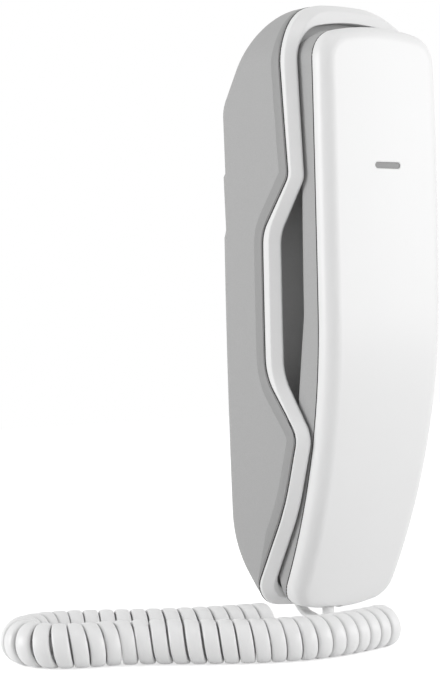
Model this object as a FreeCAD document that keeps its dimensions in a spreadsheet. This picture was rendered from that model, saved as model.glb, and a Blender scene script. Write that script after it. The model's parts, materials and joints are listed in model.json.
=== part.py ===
import FreeCAD, Part
import math
import os
import Sketcher

Vector = FreeCAD.Vector
Placement = FreeCAD.Placement
Rotation = FreeCAD.Rotation

# A slim wall telephone. X runs to the right, Z up, and the wall is the plane Y = 0 behind it.
# Depth is the distance out from the wall, so depth = -Y. Heights count from midway between the two keyholes.

sizes = {
    # Outline of the handset seen from the front
    "handsetHalf": 25.8,
    "handsetTop": 96.5,
    "handsetFoot": 106.3,
    "handsetTopCrown": 90.0,
    "handsetFootCrown": 70.0,
    "handsetTopCorner": 10.5,
    "handsetFootCorner": 10.0,
    "widestHeight": 45.0,
    "sideRadius": 3070.0,
    # Opening of the rim round the handset, and the rim's widths
    "rimClearance": 1.0,
    "rimTopClearance": 2.7,
    "footOverhang": 5.4,
    "rimCrown": 74.0,
    "rimTopCorner": 13.5,
    "rimFootCorner": 6.0,
    "rimWidth": 3.4,
    "rimTopWidth": 6.8,
    "rimFootWidth": 4.8,
    "baseCrown": 119.7,
    "baseFootCrown": 180.0,
    "baseTopCorner": 23.1,
    "baseFootCorner": 8.5,
    # Base in side view
    "shellWall": 1.8,
    "shellEdge": 3.3,
    "shoulderRise": 4.0,
    "shoulderDepth": 24.1,
    "shoulderRadius": 20.2,
    "shoulderFoot": 71.8,
    "shoulderFootRadius": 12.0,
    "heelHeight": 84.8,
    "heelSlope": 0.9,
    "heelRadius": 32.0,
    "bezelSeam": 0.3,
    "bezelSlant": 2.9,
    "bezelRebate": 2.2,
    "tongueHalf": 18.0,
    "tongueThickness": 1.2,
    "tongueHeight": 3.0,
    "fitClearance": 0.15,
    # Wavy parting line of base and bezel
    "browHeight": 97.7,
    "browDepth": 33.8,
    "browRadius": 34.0,
    "earHeight": 45.4,
    "earDepth": 39.6,
    "earRadius": 5.0,
    "gripTopHeight": 26.6,
    "gripTopDepth": 24.7,
    "gripTopRadius": 12.0,
    "gripFootHeight": -23.3,
    "gripFootDepth": 24.7,
    "gripFootRadius": 18.0,
    "cheekHeight": -43.2,
    "cheekDepth": 41.2,
    "cheekRadius": 7.0,
    "jawHeight": -68.2,
    "jawDepth": 33.0,
    "jawRadius": 80.0,
    "toeHeight": -96.1,
    "toeDepth": 16.3,
    "toeRadius": 8.0,
    # Rise of the bezel's front over that line
    "browRise": 5.6,
    "earRise": 4.5,
    "gripRise": 6.1,
    "cheekRise": 4.0,
    "jawRise": 3.7,
    "toeRise": 4.4,
    # Cradle
    "cradleWall": 1.2,
    "cradleFloor": 2.0,
    "cradleShelf": 33.3,
    "cradleMiddle": 21.8,
    "seatGap": 1.2,
    "restPadRadius": 3.0,
    "restPadThickness": 1.0,
    "earPadHeight": 70.0,
    "earPadSpread": 15.0,
    "mouthPadHeight": -75.0,
    "mouthPadSpread": 13.0,
    # Handset in side view
    "seamDepth": 49.1,
    "upperBow": 1950.0,
    "lowerBow": 215.0,
    "coverHeight": 7.8,
    "coverSag": 1.2,
    "coverEdge": 5.0,
    "handsetBackEdge": 2.5,
    "handsetWall": 2.1,
    "handsetFloor": 2.0,
    "handsetSeam": 0.3,
    "lipThickness": 1.0,
    "lipRise": 2.0,
    "earSeatDepth": 29.8,
    "earSeatHeight": 68.0,
    "earSeatHalf": 12.5,
    "liftTilt": 10.0,
    "gripBackDepth": 39.7,
    "mouthBackDepth": 20.0,
    "chinRise": 1.5,
    # Screws
    "screwRadius": 1.4,
    "screwHeadRadius": 2.7,
    "screwHeadHeight": 2.0,
    "screwPilotClearance": 0.1,
    "baseScrewSpread": 22.5,
    "baseScrewHeight": 62.0,
    "baseScrewRecess": 1.4,
    "baseScrewReach": 14.5,
    "basePostTop": 11.0,
    "basePostRadius": 3.8,
    "trayBossRadius": 3.8,
    "handsetScrewRadius": 1.1,
    "handsetScrewHeadRadius": 2.4,
    "handsetScrewHeadHeight": 1.6,
    "handsetScrewRecess": 0.5,
    "handsetBossRadius": 2.8,
    "upperScrewSpread": 13.5,
    "upperScrewHeight": 41.0,
    "lowerScrewSpread": 15.0,
    "lowerScrewHeight": -84.0,
    # Wall fixing
    "keyholeSpacing": 83.0,
    "keyholeSlot": 4.4,
    "keyholeEntry": 8.5,
    "keyholeDrop": 8.5,
    "wallPadRadius": 4.0,
    "wallPadThickness": 1.0,
    "wallPadSpread": 22.0,
    "wallPadHeight": 22.0,
    # Circuit board of the base and what stands on it
    "boardBack": 7.0,
    "boardThickness": 1.6,
    "boardHalf": 18.5,
    "boardTop": 68.0,
    "boardFoot": 72.0,
    "boardScrewRadius": 1.1,
    "boardScrewHeadRadius": 2.2,
    "boardScrewHeadHeight": 1.4,
    "boardScrewLength": 5.1,
    "standoffRadius": 2.5,
    "standoffSpread": 16.0,
    "standoffTop": 55.0,
    "standoffFoot": -48.0,
    "transformerWidth": 12.0,
    "transformerDepth": 5.8,
    "transformerHeight": 11.0,
    "transformerX": -9.0,
    "transformerZ": -8.0,
    "chipWidth": 7.6,
    "chipDepth": 2.3,
    "chipLength": 18.0,
    "chipX": 6.0,
    "chipZ": 38.0,
    "capacitorRadius": 2.5,
    "capacitorDepth": 6.0,
    "capacitorSpacing": 7.0,
    "capacitorX": -12.0,
    "capacitorZ": 20.0,
    "ringerRadius": 10.0,
    "ringerDepth": 4.0,
    "ringerX": 8.0,
    "ringerZ": -30.0,
    # Ringer switch on the right side
    "ringerSwitchInner": 15.0,
    "ringerSwitchOuter": 26.0,
    "ringerSwitchDepth": 6.0,
    "ringerSwitchLength": 14.0,
    "ringerSwitchHeight": 11.0,
    "knobThickness": 3.0,
    "knobLength": 4.0,
    "knobTravel": 4.0,
    "knobClearance": 0.3,
    "knobCapLength": 6.0,
    "knobCapHeight": 5.0,
    "knobCapThickness": 1.6,
    "knobCapEdge": 0.4,
    # Modular jacks and plugs
    "jackFloor": 4.7,
    "jackHeight": 8.1,
    "jackFoot": -86.2,
    "jackLength": 14.1,
    "jackDepth": 9.7,
    "jackTabLength": 6.0,
    "jackTabThickness": 1.2,
    "cordJackX": -7.0,
    "cordJackWidth": 10.6,
    "plugWidth": 7.6,
    "plugThickness": 6.3,
    "plugLength": 11.5,
    "plugClearance": 0.1,
    "basePlugFoot": -88.8,
    "lineJackX": 8.0,
    "lineJackWidth": 12.6,
    "lineOpeningWidth": 9.7,
    "recessLeft": -13.0,
    "recessRight": 15.0,
    "recessTop": -86.3,
    "recessWall": 2.0,
    # Hook plunger and switch
    "plungerHeight": 62.0,
    "plungerWidth": 8.0,
    "plungerClearance": 0.3,
    "plungerTravel": 4.0,
    "plungerTip": 0.3,
    "plungerFlange": 2.0,
    "plungerSeatMargin": 3.0,
    "plungerFlangeThickness": 1.2,
    "plungerStemRadius": 2.0,
    "plungerStemLength": 2.55,
    "hookSwitchWidth": 10.0,
    "hookSwitchLength": 11.0,
    "hookSwitchGap": 1.0,
    # Keypad on the inner face of the handset
    "keyWidth": 9.0,
    "keyHeight": 6.0,
    "keyPitchX": 13.5,
    "keyPitchZ": 11.0,
    "keyTopRow": 29.0,
    "keyTop": 38.4,
    "keyClearance": 0.25,
    "keyRound": 0.8,
    "keyFlange": 0.8,
    "keyFlangeThickness": 1.0,
    "keyPostRadius": 1.5,
    "keyPostLength": 1.15,
    "keyTravel": 1.1,
    "runningGap": 0.05,
    "pocketHalf": 20.0,
    "pocketFloor": 40.4,
    "pocketWall": 1.8,
    "pocketTop": 36.0,
    "pocketFoot": -22.0,
    "matThickness": 1.2,
    "matHalf": 19.2,
    "matWell": 1.8,
    "handsetBoardThickness": 1.6,
    "handsetBoardHalf": 21.4,
    "handsetBoardTop": 53.0,
    "handsetBoardFoot": -24.0,
    # Receiver, microphone, lamp and weight
    "receiverRadius": 10.5,
    "receiverDepth": 8.0,
    "gasketThickness": 0.9,
    "gasketWidth": 3.0,
    "soundHoleRadius": 0.9,
    "soundHoleRing": 3.5,
    "soundHoleRise": 3.5,
    "microphoneRadius": 4.9,
    "microphoneDepth": 4.5,
    "microphoneHeight": -80.0,
    "bootThickness": 1.4,
    "lensLength": 11.2,
    "lensWidth": 2.1,
    "lensHeight": 48.9,
    "lensRecess": 0.15,
    "lensFlange": 1.2,
    "lensFlangeThickness": 1.0,
    "lampRadius": 1.5,
    "lampLength": 5.0,
    "weightWidth": 30.0,
    "weightHeight": 15.0,
    "weightDepth": 6.8,
    "weightBack": 32.2,
    "weightMiddle": -54.0,
    "handsetJackX": -4.3,
    "handsetJackWidth": 10.4,
    "handsetJackTop": -90.0,
    "handsetJackFoot": -101.2,
    "handsetJackBack": 23.65,
    "handsetJackHeight": 6.35,
    "handsetPlugThickness": 5.4,
    "handsetPlugTop": -96.7,
    "handsetPlugFoot": -106.7,
    "handsetPlugDepth": 26.8,
    # Cord: round solids of about the flat strip's section, on the surface below the telephone
    "floorHeight": -112.5,
    "coilOuter": 14.3,
    "coilWire": 3.2,
    "coilPitch": 5.0,
    "coilPitchAtHandset": 4.4,
    "coilLeastGap": 0.6,
    "leadDiameter": 2.8,
}

doc = FreeCAD.newDocument("WallTelephone")
sheet = doc.addObject("Spreadsheet::Sheet", "Sizes")
for row, (alias, number) in enumerate(sizes.items(), 1):
    sheet.set("A%d" % row, alias)
    sheet.set("B%d" % row, "%g" % number)
    sheet.setAlias("B%d" % row, alias)
doc.recompute()


class Values:
    pass


s = Values()
for alias in sizes:
    setattr(s, alias, float(sheet.get(alias)))

nodes = []


def at(x, depth, height):
    return Vector(x, -depth, height)


def lift(distance):
    tilt = math.radians(s.liftTilt)
    return Vector(0, -math.cos(tilt), math.sin(tilt)) * distance


def ear_line(height, gap=0.0):
    # Depth of the handset's ear seat, or of a line that much behind it
    tilt = math.radians(s.liftTilt)
    return s.earSeatDepth - math.tan(tilt) * (height - s.earSeatHeight) - gap / math.cos(tilt)


def seat_frame(height):
    # Local -Y points along the lift direction and local Z up the ear seat
    return Placement(at(0, ear_line(height), height), Rotation(Vector(1, 0, 0), -s.liftTilt))


def on_seat(shape, height):
    moved = shape.copy()
    moved.Placement = seat_frame(height).multiply(moved.Placement)
    return moved


def box(x0, x1, depth0, depth1, height0, height1):
    return Part.makeBox(x1 - x0, depth1 - depth0, height1 - height0, at(x0, depth1, height0))


def pin(x, height, radius, depth0, depth1):
    return Part.makeCylinder(radius, depth1 - depth0, at(x, depth0, height), Vector(0, -1, 0))


def rounded_edges(corners, put):
    # Closed outline: each corner is (a, b, radius), joined by straight runs with tangent arcs
    count = len(corners)
    ends = []
    for i, (a, b, radius) in enumerate(corners):
        here = Vector(a, b, 0)
        back = Vector(corners[i - 1][0], corners[i - 1][1], 0) - here
        ahead = Vector(corners[(i + 1) % count][0], corners[(i + 1) % count][1], 0) - here
        room = 0.49 * min(back.Length, ahead.Length)
        back.normalize()
        ahead.normalize()
        half = math.acos(max(-1.0, min(1.0, back.dot(ahead)))) / 2
        if radius <= 0 or math.pi / 2 - half < 1e-4:
            ends.append((here, None, here))
            continue
        reach = min(radius / math.tan(half), room)
        radius = reach * math.tan(half)
        middle = (back + ahead).normalize() * (radius / math.sin(half) - radius)
        ends.append((here + back * reach, here + middle, here + ahead * reach))
    edges = []
    for i, (start, middle, end) in enumerate(ends):
        if middle is not None:
            arc = Part.Arc(put(start.x, start.y), put(middle.x, middle.y), put(end.x, end.y))
            edges.append(arc.toShape())
        following = ends[(i + 1) % count][0]
        edges.append(Part.LineSegment(put(end.x, end.y), put(following.x, following.y)).toShape())
    return edges


def beyond(run, depth, half=60.0):
    # Solid between an open run of (height, depth, radius), taken from the top down, and the plane at a depth
    corners = [(run[0][0], depth, 0)] + list(run) + [(run[-1][0], depth, 0)]
    edges = rounded_edges(corners, lambda height, deep: at(-half, deep, height))
    return Part.Face(Part.Wire(edges)).extrude(Vector(2 * half, 0, 0))


def moved_run(run, step):
    # The same run moved square to itself, towards more depth where step is positive
    normals = []
    for (h0, d0, r0), (h1, d1, r1) in zip(run, run[1:]):
        length = math.hypot(h1 - h0, d1 - d0)
        normals.append(((d1 - d0) / length, (h0 - h1) / length))
    out = []
    for i, (height, depth, radius) in enumerate(run):
        first = normals[max(i - 1, 0)]
        second = normals[min(i, len(normals) - 1)]
        share = step / (1 + first[0] * second[0] + first[1] * second[1])
        turn = first[0] * second[1] - first[1] * second[0]
        if radius > 0:
            radius = max(0.2, radius + (step if turn > 0 else -step))
        out.append((height + share * (first[0] + second[0]), depth + share * (first[1] + second[1]),
                    radius))
    return out


def outline_block(outline, grow, depth0, depth1):
    # Block with the outline's four arcs, each moved out by grow, and its rounded corners
    half, top, foot, top_crown, foot_crown, top_corner, foot_corner = outline
    centre = s.handsetHalf - s.sideRadius
    side = half + grow - centre
    top_centre = top - top_crown
    foot_centre = foot_crown - foot

    def side_at(height):
        return centre + math.sqrt(side ** 2 - (height - s.widestHeight) ** 2)

    def meet(crown_centre, crown, sign):
        x = half
        for _ in range(30):
            height = crown_centre + sign * math.sqrt(crown ** 2 - x ** 2)
            x = side_at(height)
        return x, height

    x1, z1 = meet(top_centre, top_crown + grow, 1)
    x2, z2 = meet(foot_centre, foot_crown + grow, -1)
    middle = (z1 + z2) / 2
    edges = [
        Part.Arc(at(-x1, depth0, z1), at(0, depth0, top + grow), at(x1, depth0, z1)).toShape(),
        Part.Arc(at(x1, depth0, z1), at(side_at(middle), depth0, middle), at(x2, depth0, z2)).toShape(),
        Part.Arc(at(x2, depth0, z2), at(0, depth0, -foot - grow), at(-x2, depth0, z2)).toShape(),
        Part.Arc(at(-x2, depth0, z2), at(-side_at(middle), depth0, middle), at(-x1, depth0, z1)).toShape(),
    ]
    block = Part.Face(Part.Wire(edges)).extrude(Vector(0, depth0 - depth1, 0))
    for radius, above in ((top_corner + grow, True), (foot_corner + grow, False)):
        upright = []
        for edge in block.Edges:
            direction = edge.tangentAt(edge.FirstParameter)
            if abs(direction.y) > 0.999 and (edge.CenterOfMass.z > 0) == above:
                upright.append(edge)
        block = block.makeFillet(radius, upright)
    return block


def bow_slab(low, high, sag):
    # Slab that follows the handset's bow: flat at the seam plus low, crowned at the seam plus high
    half = 40.0
    parts = []
    for radius, sign in ((s.upperBow, -1), (s.lowerBow, 1)):
        bottom = s.seamDepth + low
        top = s.seamDepth + high
        edges = [Part.LineSegment(at(half, bottom, 0), at(-half, bottom, 0)).toShape()]
        if sag > 0:
            crown = (s.handsetHalf ** 2 + sag ** 2) / (2 * sag)
            edge_top = top - crown + math.sqrt(crown ** 2 - half ** 2)
            edges.append(Part.LineSegment(at(-half, bottom, 0), at(-half, edge_top, 0)).toShape())
            edges.append(Part.Arc(at(-half, edge_top, 0), at(0, top, 0), at(half, edge_top, 0)).toShape())
            edges.append(Part.LineSegment(at(half, edge_top, 0), at(half, bottom, 0)).toShape())
        else:
            edges.append(Part.LineSegment(at(-half, bottom, 0), at(-half, top, 0)).toShape())
            edges.append(Part.LineSegment(at(-half, top, 0), at(half, top, 0)).toShape())
            edges.append(Part.LineSegment(at(half, top, 0), at(half, bottom, 0)).toShape())
        face = Part.Face(Part.Wire(edges))
        sweep = math.degrees(math.asin(118.0 / radius))
        parts.append(face.revolve(at(0, s.seamDepth - radius, 0), Vector(sign, 0, 0), sweep))
    return parts[0].fuse(parts[1])


def edges_between(shape, first_kind, second_kind):
    found = []
    for edge in shape.Edges:
        faces = shape.ancestorsOfType(edge, Part.Face)
        if len(faces) != 2:
            continue
        middle = edge.valueAt((edge.FirstParameter + edge.LastParameter) / 2)
        normals = [face.normalAt(*face.Surface.parameter(middle)) for face in faces]
        for a, b in ((0, 1), (1, 0)):
            if first_kind(normals[a]) and second_kind(normals[b]):
                found.append(edge)
                break
    return found


def is_side(normal):
    return abs(normal.y) < 0.02


def is_front(normal):
    return normal.y < -0.3


def is_back(normal):
    return normal.y > 0.05 and abs(normal.x) < 0.001


def add_shape(name, shape):
    # A piece whose form no sketch or primitive gives
    if isinstance(shape, list):
        shape = Part.makeCompound(shape)
    part = doc.addObject("Part::Feature", name)
    part.Label = name
    part.Shape = shape
    part.Placement = Placement()
    nodes.append(part)
    return part


def solid_of(shape):
    # Keeps the one large solid of a boolean result
    return max(shape.Solids, key=lambda solid: solid.Volume)


# Outlines
rim_half = s.handsetHalf + s.rimClearance
rim_top = s.handsetTop + s.rimTopClearance
rim_foot = s.handsetFoot - s.footOverhang
base_half = rim_half + s.rimWidth
base_top = rim_top + s.rimTopWidth
base_foot = rim_foot + s.rimFootWidth
handset_outline = (s.handsetHalf, s.handsetTop, s.handsetFoot, s.handsetTopCrown, s.handsetFootCrown,
                   s.handsetTopCorner, s.handsetFootCorner)
rim_outline = (rim_half, rim_top, rim_foot, s.rimCrown, s.rimCrown, s.rimTopCorner, s.rimFootCorner)
base_outline = (base_half, base_top, base_foot, s.baseCrown, s.baseFootCrown, s.baseTopCorner,
                s.baseFootCorner)

# Side runs, from the top down
shoulder = base_top + s.shoulderRise
heel_end = base_foot + 9.6
back_run = [
    (shoulder + 26.5, 60.0, 0),
    (shoulder, s.shoulderDepth, s.shoulderRadius),
    (s.shoulderFoot, 0.0, s.shoulderFootRadius),
    (-s.heelHeight, 0.0, s.heelRadius),
    (-heel_end, (heel_end - s.heelHeight) * s.heelSlope, 0),
]
rim_run = [
    (s.browHeight + 14.3, s.browDepth - 10.0, 0),
    (s.browHeight, s.browDepth, s.browRadius),
    (s.earHeight, s.earDepth, s.earRadius),
    (s.gripTopHeight, s.gripTopDepth, s.gripTopRadius),
    (s.gripFootHeight, s.gripFootDepth, s.gripFootRadius),
    (s.cheekHeight, s.cheekDepth, s.cheekRadius),
    (s.jawHeight, s.jawDepth, s.jawRadius),
    (s.toeHeight, s.toeDepth, s.toeRadius),
    (s.toeHeight - 15.9, s.toeDepth - 1.2, 0),
]
bezel_run = [
    (s.browHeight + 15.3, s.browDepth + s.browRise - 10.0, 0),
    (s.browHeight + 0.8, s.browDepth + s.browRise, s.browRadius - 4.0),
    (s.earHeight - 0.9, s.earDepth + s.earRise, s.earRadius),
    (s.gripTopHeight - 0.7, s.gripTopDepth + s.gripRise, s.gripTopRadius),
    (s.gripFootHeight + 0.4, s.gripFootDepth + s.gripRise, s.gripFootRadius),
    (s.cheekHeight, s.cheekDepth + s.cheekRise, s.cheekRadius + 2.0),
    (s.jawHeight - 1.3, s.jawDepth + s.jawRise, s.jawRadius),
    (s.toeHeight - 0.9, s.toeDepth + s.toeRise, s.toeRadius),
    (s.toeHeight - 15.9, s.toeDepth + s.toeRise - 1.2, 0),
]
ear_top = s.earSeatHeight + s.earSeatHalf
ear_foot = s.earSeatHeight - s.earSeatHalf
# The cradle's ear seat reaches on below the plunger's flange
flange_half = s.plungerWidth / 2 + s.plungerFlange
seat_foot = min(ear_foot - 2.5, s.plungerHeight - flange_half - s.plungerSeatMargin)
handset_back = [
    (s.handsetTop + 4.5, s.earSeatDepth + 18.0, 0),
    (s.earSeatHeight + 22.0, s.earSeatDepth + 7.0, 6.0),
    (ear_top, ear_line(ear_top), 3.0),
    (ear_foot, ear_line(ear_foot), 3.0),
    (ear_foot - 9.5, s.gripBackDepth + 0.3, 5.0),
    (-2.0, s.gripBackDepth, 30.0),
    (-36.5, s.gripBackDepth - 4.9, 10.0),
    (-57.0, s.mouthBackDepth + 3.8, 12.0),
    (-70.0, s.mouthBackDepth, 8.0),
    (-93.0, s.mouthBackDepth, 4.0),
    (-97.0, s.mouthBackDepth + s.chinRise, 4.0),
    (-112.0, s.mouthBackDepth + s.chinRise + 0.2, 0),
]
mouth_floor = s.mouthBackDepth - s.seatGap
cradle_run = [
    (112.0, s.cradleShelf, 0),
    (ear_top + 8.0, s.cradleShelf, 4.0),
    (ear_top + 2.0, ear_line(ear_top + 2.0, s.seatGap), 4.0),
    (seat_foot, ear_line(seat_foot, s.seatGap), 4.0),
    (seat_foot - 9.0, s.cradleMiddle, 6.0),
    (-58.0, s.cradleMiddle, 20.0),
    (-70.0, mouth_floor, 8.0),
    (-97.5, mouth_floor, 4.0),
    (-101.5, mouth_floor + 0.6, 3.0),
    (-112.0, mouth_floor + 0.6, 0),
]


def cavity_block(extra):
    inside = outline_block(base_outline, -s.shellWall - extra, -5.0, 70.0)
    return inside.common(beyond(moved_run(back_run, s.shellWall + extra), 75.0))


print("rear shell")
shell = outline_block(base_outline, 0.0, -5.0, 60.0).common(beyond(back_run, 75.0))
shell = solid_of(shell)
shell = shell.makeFillet(s.shellEdge, edges_between(shell, is_side, is_back))
seam_half = s.bezelSeam / 2
shell = shell.common(beyond(moved_run(rim_run, -seam_half), -20.0))
shell_body = solid_of(shell)
shell = shell_body.cut(cavity_block(0.0))

base_spots = [(x * s.baseScrewSpread, z * s.baseScrewHeight) for x in (-1, 1) for z in (-1, 1)]
board_spots = [(x * s.standoffSpread, z) for x in (-1, 1) for z in (s.standoffTop, s.standoffFoot)]
pad_spots = [(x * s.wallPadSpread, z * s.wallPadHeight) for x in (-1, 1) for z in (-1, 1)]
additions = [pin(x, z, s.basePostRadius, 0.5, s.basePostTop) for x, z in base_spots]
additions += [pin(x, z, s.standoffRadius, 0.5, s.boardBack) for x, z in board_spots]
recess_depth = s.mouthBackDepth - s.seatGap - s.cradleFloor + 0.1
cheeks = box(s.recessLeft - s.recessWall, s.recessRight + s.recessWall, -1.0, recess_depth - 0.25,
             -base_foot - 2, s.recessTop + s.recessWall + 0.2)
additions.append(cheeks.common(shell_body))
shell = shell.fuse(additions)
cuts = []
head_seat = s.baseScrewRecess + s.screwHeadHeight
for x, z in base_spots:
    cuts.append(pin(x, z, s.screwHeadRadius + 0.3, -1.0, head_seat))
    cuts.append(pin(x, z, s.screwRadius + 0.3, -1.0, s.basePostTop + 1))
for x, z in board_spots:
    cuts.append(pin(x, z, s.boardScrewRadius + s.screwPilotClearance, s.boardBack - 4.2, s.boardBack + 1))
for x, z in pad_spots:
    cuts.append(pin(x, z, s.wallPadRadius + s.fitClearance, -1.0, s.wallPadThickness + 0.05))
for sign in (-1, 1):
    rest = sign * s.keyholeSpacing / 2
    cuts.append(pin(0, rest, s.keyholeSlot / 2, -1.0, s.shellWall + 1))
    cuts.append(box(-s.keyholeSlot / 2, s.keyholeSlot / 2, -1.0, s.shellWall + 1, rest - s.keyholeDrop,
                    rest))
    cuts.append(pin(0, rest - s.keyholeDrop, s.keyholeEntry / 2, -1.0, s.shellWall + 1))
cuts.append(box(s.recessLeft, s.recessRight, -1.0, recess_depth, -base_foot - 5, s.recessTop))
jack_front = s.jackFloor + s.jackHeight
for x, width in ((s.cordJackX, s.cordJackWidth), (s.lineJackX, s.lineJackWidth)):
    cuts.append(box(x - width / 2 - 0.15, x + width / 2 + 0.15, s.jackFloor - 0.15, jack_front + 2.0,
                    s.recessTop - 1, s.recessTop + s.recessWall + 1))
switch_middle = s.boardBack + s.boardThickness + s.ringerSwitchDepth / 2
slot_half = (s.knobLength + s.knobTravel) / 2 + s.knobClearance
cuts.append(box(base_half - 6, base_half + 3, switch_middle - s.knobThickness / 2 - s.knobClearance,
                switch_middle + s.knobThickness / 2 + s.knobClearance,
                s.ringerSwitchHeight - slot_half, s.ringerSwitchHeight + slot_half))
for step in range(5):
    height = s.ringerZ - 8.0 + 4.0 * step
    cuts.append(box(base_half - 6, base_half + 3, 8.0, 16.0, height - 0.7, height + 0.7))
shell = solid_of(shell.cut(cuts))
add_shape("rear_shell", shell)

print("front bezel")
ring = outline_block(base_outline, 0.0, 5.0, 60.0).cut(outline_block(rim_outline, 0.0, 0.0, 65.0))
ring = ring.common(beyond(moved_run(rim_run, seam_half), 75.0))
ring = ring.common(beyond(bezel_run, -20.0))
rebate = outline_block(rim_outline, s.cradleWall + s.fitClearance, 0.0, 65.0)
ring = ring.cut(rebate.common(beyond(moved_run(bezel_run, -s.bezelRebate), -20.0)))
ring = solid_of(ring)
front_edges = edges_between(ring, is_side, is_front)
near_opening = outline_block(rim_outline, 1.0, 0.0, 65.0)


def is_inner(edge):
    middle = edge.valueAt((edge.FirstParameter + edge.LastParameter) / 2)
    return near_opening.isInside(middle, 0.01, True)


ring = ring.makeChamfer(s.bezelSlant, [edge for edge in front_edges if not is_inner(edge)])
tongue_out = s.shellWall + s.fitClearance
tongue = outline_block(base_outline, -tongue_out, 0.0, 60.0)
tongue = tongue.cut(outline_block(base_outline, -tongue_out - s.tongueThickness, -1.0, 65.0))
tongue = tongue.cut(outline_block(rim_outline, s.cradleWall + s.fitClearance, -2.0, 66.0))
tongue = tongue.common(beyond(moved_run(rim_run, -s.tongueHeight), 75.0))
tongue = tongue.common(beyond(moved_run(rim_run, seam_half + 0.3), -20.0))
tongue = tongue.common(beyond(moved_run(back_run, tongue_out), 75.0))
tongue = tongue.common(box(-s.tongueHalf, s.tongueHalf, 0.0, 60.0, -120.0, 120.0))
bezel = solid_of(ring.fuse(tongue))
add_shape("front_bezel", bezel)

print("cradle")
under_run = moved_run(cradle_run, -s.cradleFloor)
tray = outline_block(rim_outline, s.cradleWall, 0.0, 60.0)
tray = tray.common(beyond(under_run, 75.0)).common(beyond(moved_run(bezel_run, -s.bezelRebate - 0.1),
                                                          -20.0))
tray = tray.cut(outline_block(rim_outline, 0.0, -1.0, 65.0).common(beyond(cradle_run, 75.0)))
bosses = []
for x, z in base_spots:
    bosses.append(pin(x, z, s.trayBossRadius, s.basePostTop + 0.05, 40.0).common(
        beyond(moved_run(cradle_run, -0.8), -20.0)))
tray = tray.fuse(bosses).common(cavity_block(s.fitClearance))
plunger_half = s.plungerWidth / 2
hole_half = plunger_half + s.plungerClearance
hole = on_seat(Part.makeBox(2 * hole_half, 20, 2 * hole_half, Vector(-hole_half, -6, -hole_half)),
               s.plungerHeight)
pilot_radius = s.screwRadius + s.screwPilotClearance
pilots = [pin(x, z, pilot_radius, 0.0, s.baseScrewReach + 0.5) for x, z in base_spots]
tray = solid_of(tray.cut([hole] + pilots))
add_shape("cradle", tray)

print("handset")
whole = outline_block(handset_outline, 0.0, 0.0, 65.0)
whole = whole.common(bow_slab(-50.0, s.coverHeight, s.coverSag)).common(beyond(handset_back, 75.0))
whole = solid_of(whole)
whole = whole.makeFillet(s.coverEdge, edges_between(whole, is_side, is_front))
whole = whole.makeFillet(s.handsetBackEdge, edges_between(whole, is_side, is_back))
handset_half_seam = s.handsetSeam / 2
hollow = outline_block(handset_outline, -s.handsetWall, 0.0, 70.0)

plug_opening = box(s.handsetJackX - s.plugWidth / 2 - s.fitClearance,
                   s.handsetJackX + s.plugWidth / 2 + s.fitClearance,
                   s.handsetPlugDepth - s.handsetPlugThickness / 2 - s.plugClearance,
                   s.handsetPlugDepth + s.handsetPlugThickness / 2 + s.plugClearance,
                   -s.handsetFoot - 2, s.handsetJackFoot + 0.5)
upper_spots = [(x * s.upperScrewSpread, s.upperScrewHeight) for x in (-1, 1)]
lower_spots = [(x * s.lowerScrewSpread, s.lowerScrewHeight) for x in (-1, 1)]
screw_grip = 4.9
upper_back = s.gripBackDepth + 0.3
upper_post = upper_back + screw_grip
lower_post = s.mouthBackDepth + screw_grip

inner_room = hollow.common(beyond(moved_run(handset_back, s.handsetFloor), 75.0))
grey = whole.common(bow_slab(-50.0, -handset_half_seam, 0.0)).cut(inner_room)
pocket_back = s.pocketFloor + s.pocketWall
pad_block = box(-s.pocketHalf - 2, s.pocketHalf + 2, 30.0, pocket_back, s.pocketFoot - 2, s.pocketTop + 2)
pad_block = pad_block.common(whole).common(outline_block(handset_outline, -1.0, 0.0, 70.0))
grey_parts = [pad_block]
for x, z in upper_spots:
    grey_parts.append(pin(x, z, 3.5, upper_back + 0.5, upper_post))
for x, z in lower_spots:
    grey_parts.append(pin(x, z, 3.5, s.mouthBackDepth + 0.5, lower_post))
mat_back = s.pocketFloor + s.pocketWall + s.runningGap + s.keyFlangeThickness + s.keyPostLength + s.runningGap
board_back = mat_back + s.matThickness
for sign in (-1, 1):
    x0, x1 = sorted((sign * (s.pocketHalf - 0.2), sign * (s.pocketHalf + 2)))
    grey_parts.append(box(x0, x1, pocket_back - 0.5, board_back, -10.0, 20.0))
weight_bottom = s.weightMiddle - s.weightHeight / 2
weight_rib = box(-8.0, 8.0, s.mouthBackDepth + 1.0, s.weightBack - 0.05, weight_bottom + 1.0,
                 weight_bottom + 2.6)
grey_parts.append(weight_rib.common(beyond(moved_run(handset_back, 1.0), 75.0)))
jack_seat = box(s.handsetJackX - 4, s.handsetJackX + 4, s.mouthBackDepth + 1.0, s.handsetJackBack - 0.05,
                -99.0, -91.0)
grey_parts.append(jack_seat.common(beyond(moved_run(handset_back, 1.0), 75.0)))
step_ring = outline_block(handset_outline, -s.handsetWall + 0.4, 0.0, 70.0)
step_ring = step_ring.cut(outline_block(handset_outline, -s.handsetWall - s.fitClearance - s.lipThickness,
                                        -1.0, 71.0))
step_ring = step_ring.common(bow_slab(-4.0, -handset_half_seam - 0.05, 0.0))
lip = outline_block(handset_outline, -s.handsetWall - s.fitClearance, 0.0, 70.0)
lip = lip.cut(outline_block(handset_outline, -s.handsetWall - s.fitClearance - s.lipThickness, -1.0, 71.0))
lip = lip.common(bow_slab(-3.0, s.lipRise, 0.0))
trim = beyond(moved_run(handset_back, 1.0), 75.0)
grey_parts.append(step_ring.common(trim))
grey_parts.append(lip.common(trim))
grey = grey.fuse(grey_parts)

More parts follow.
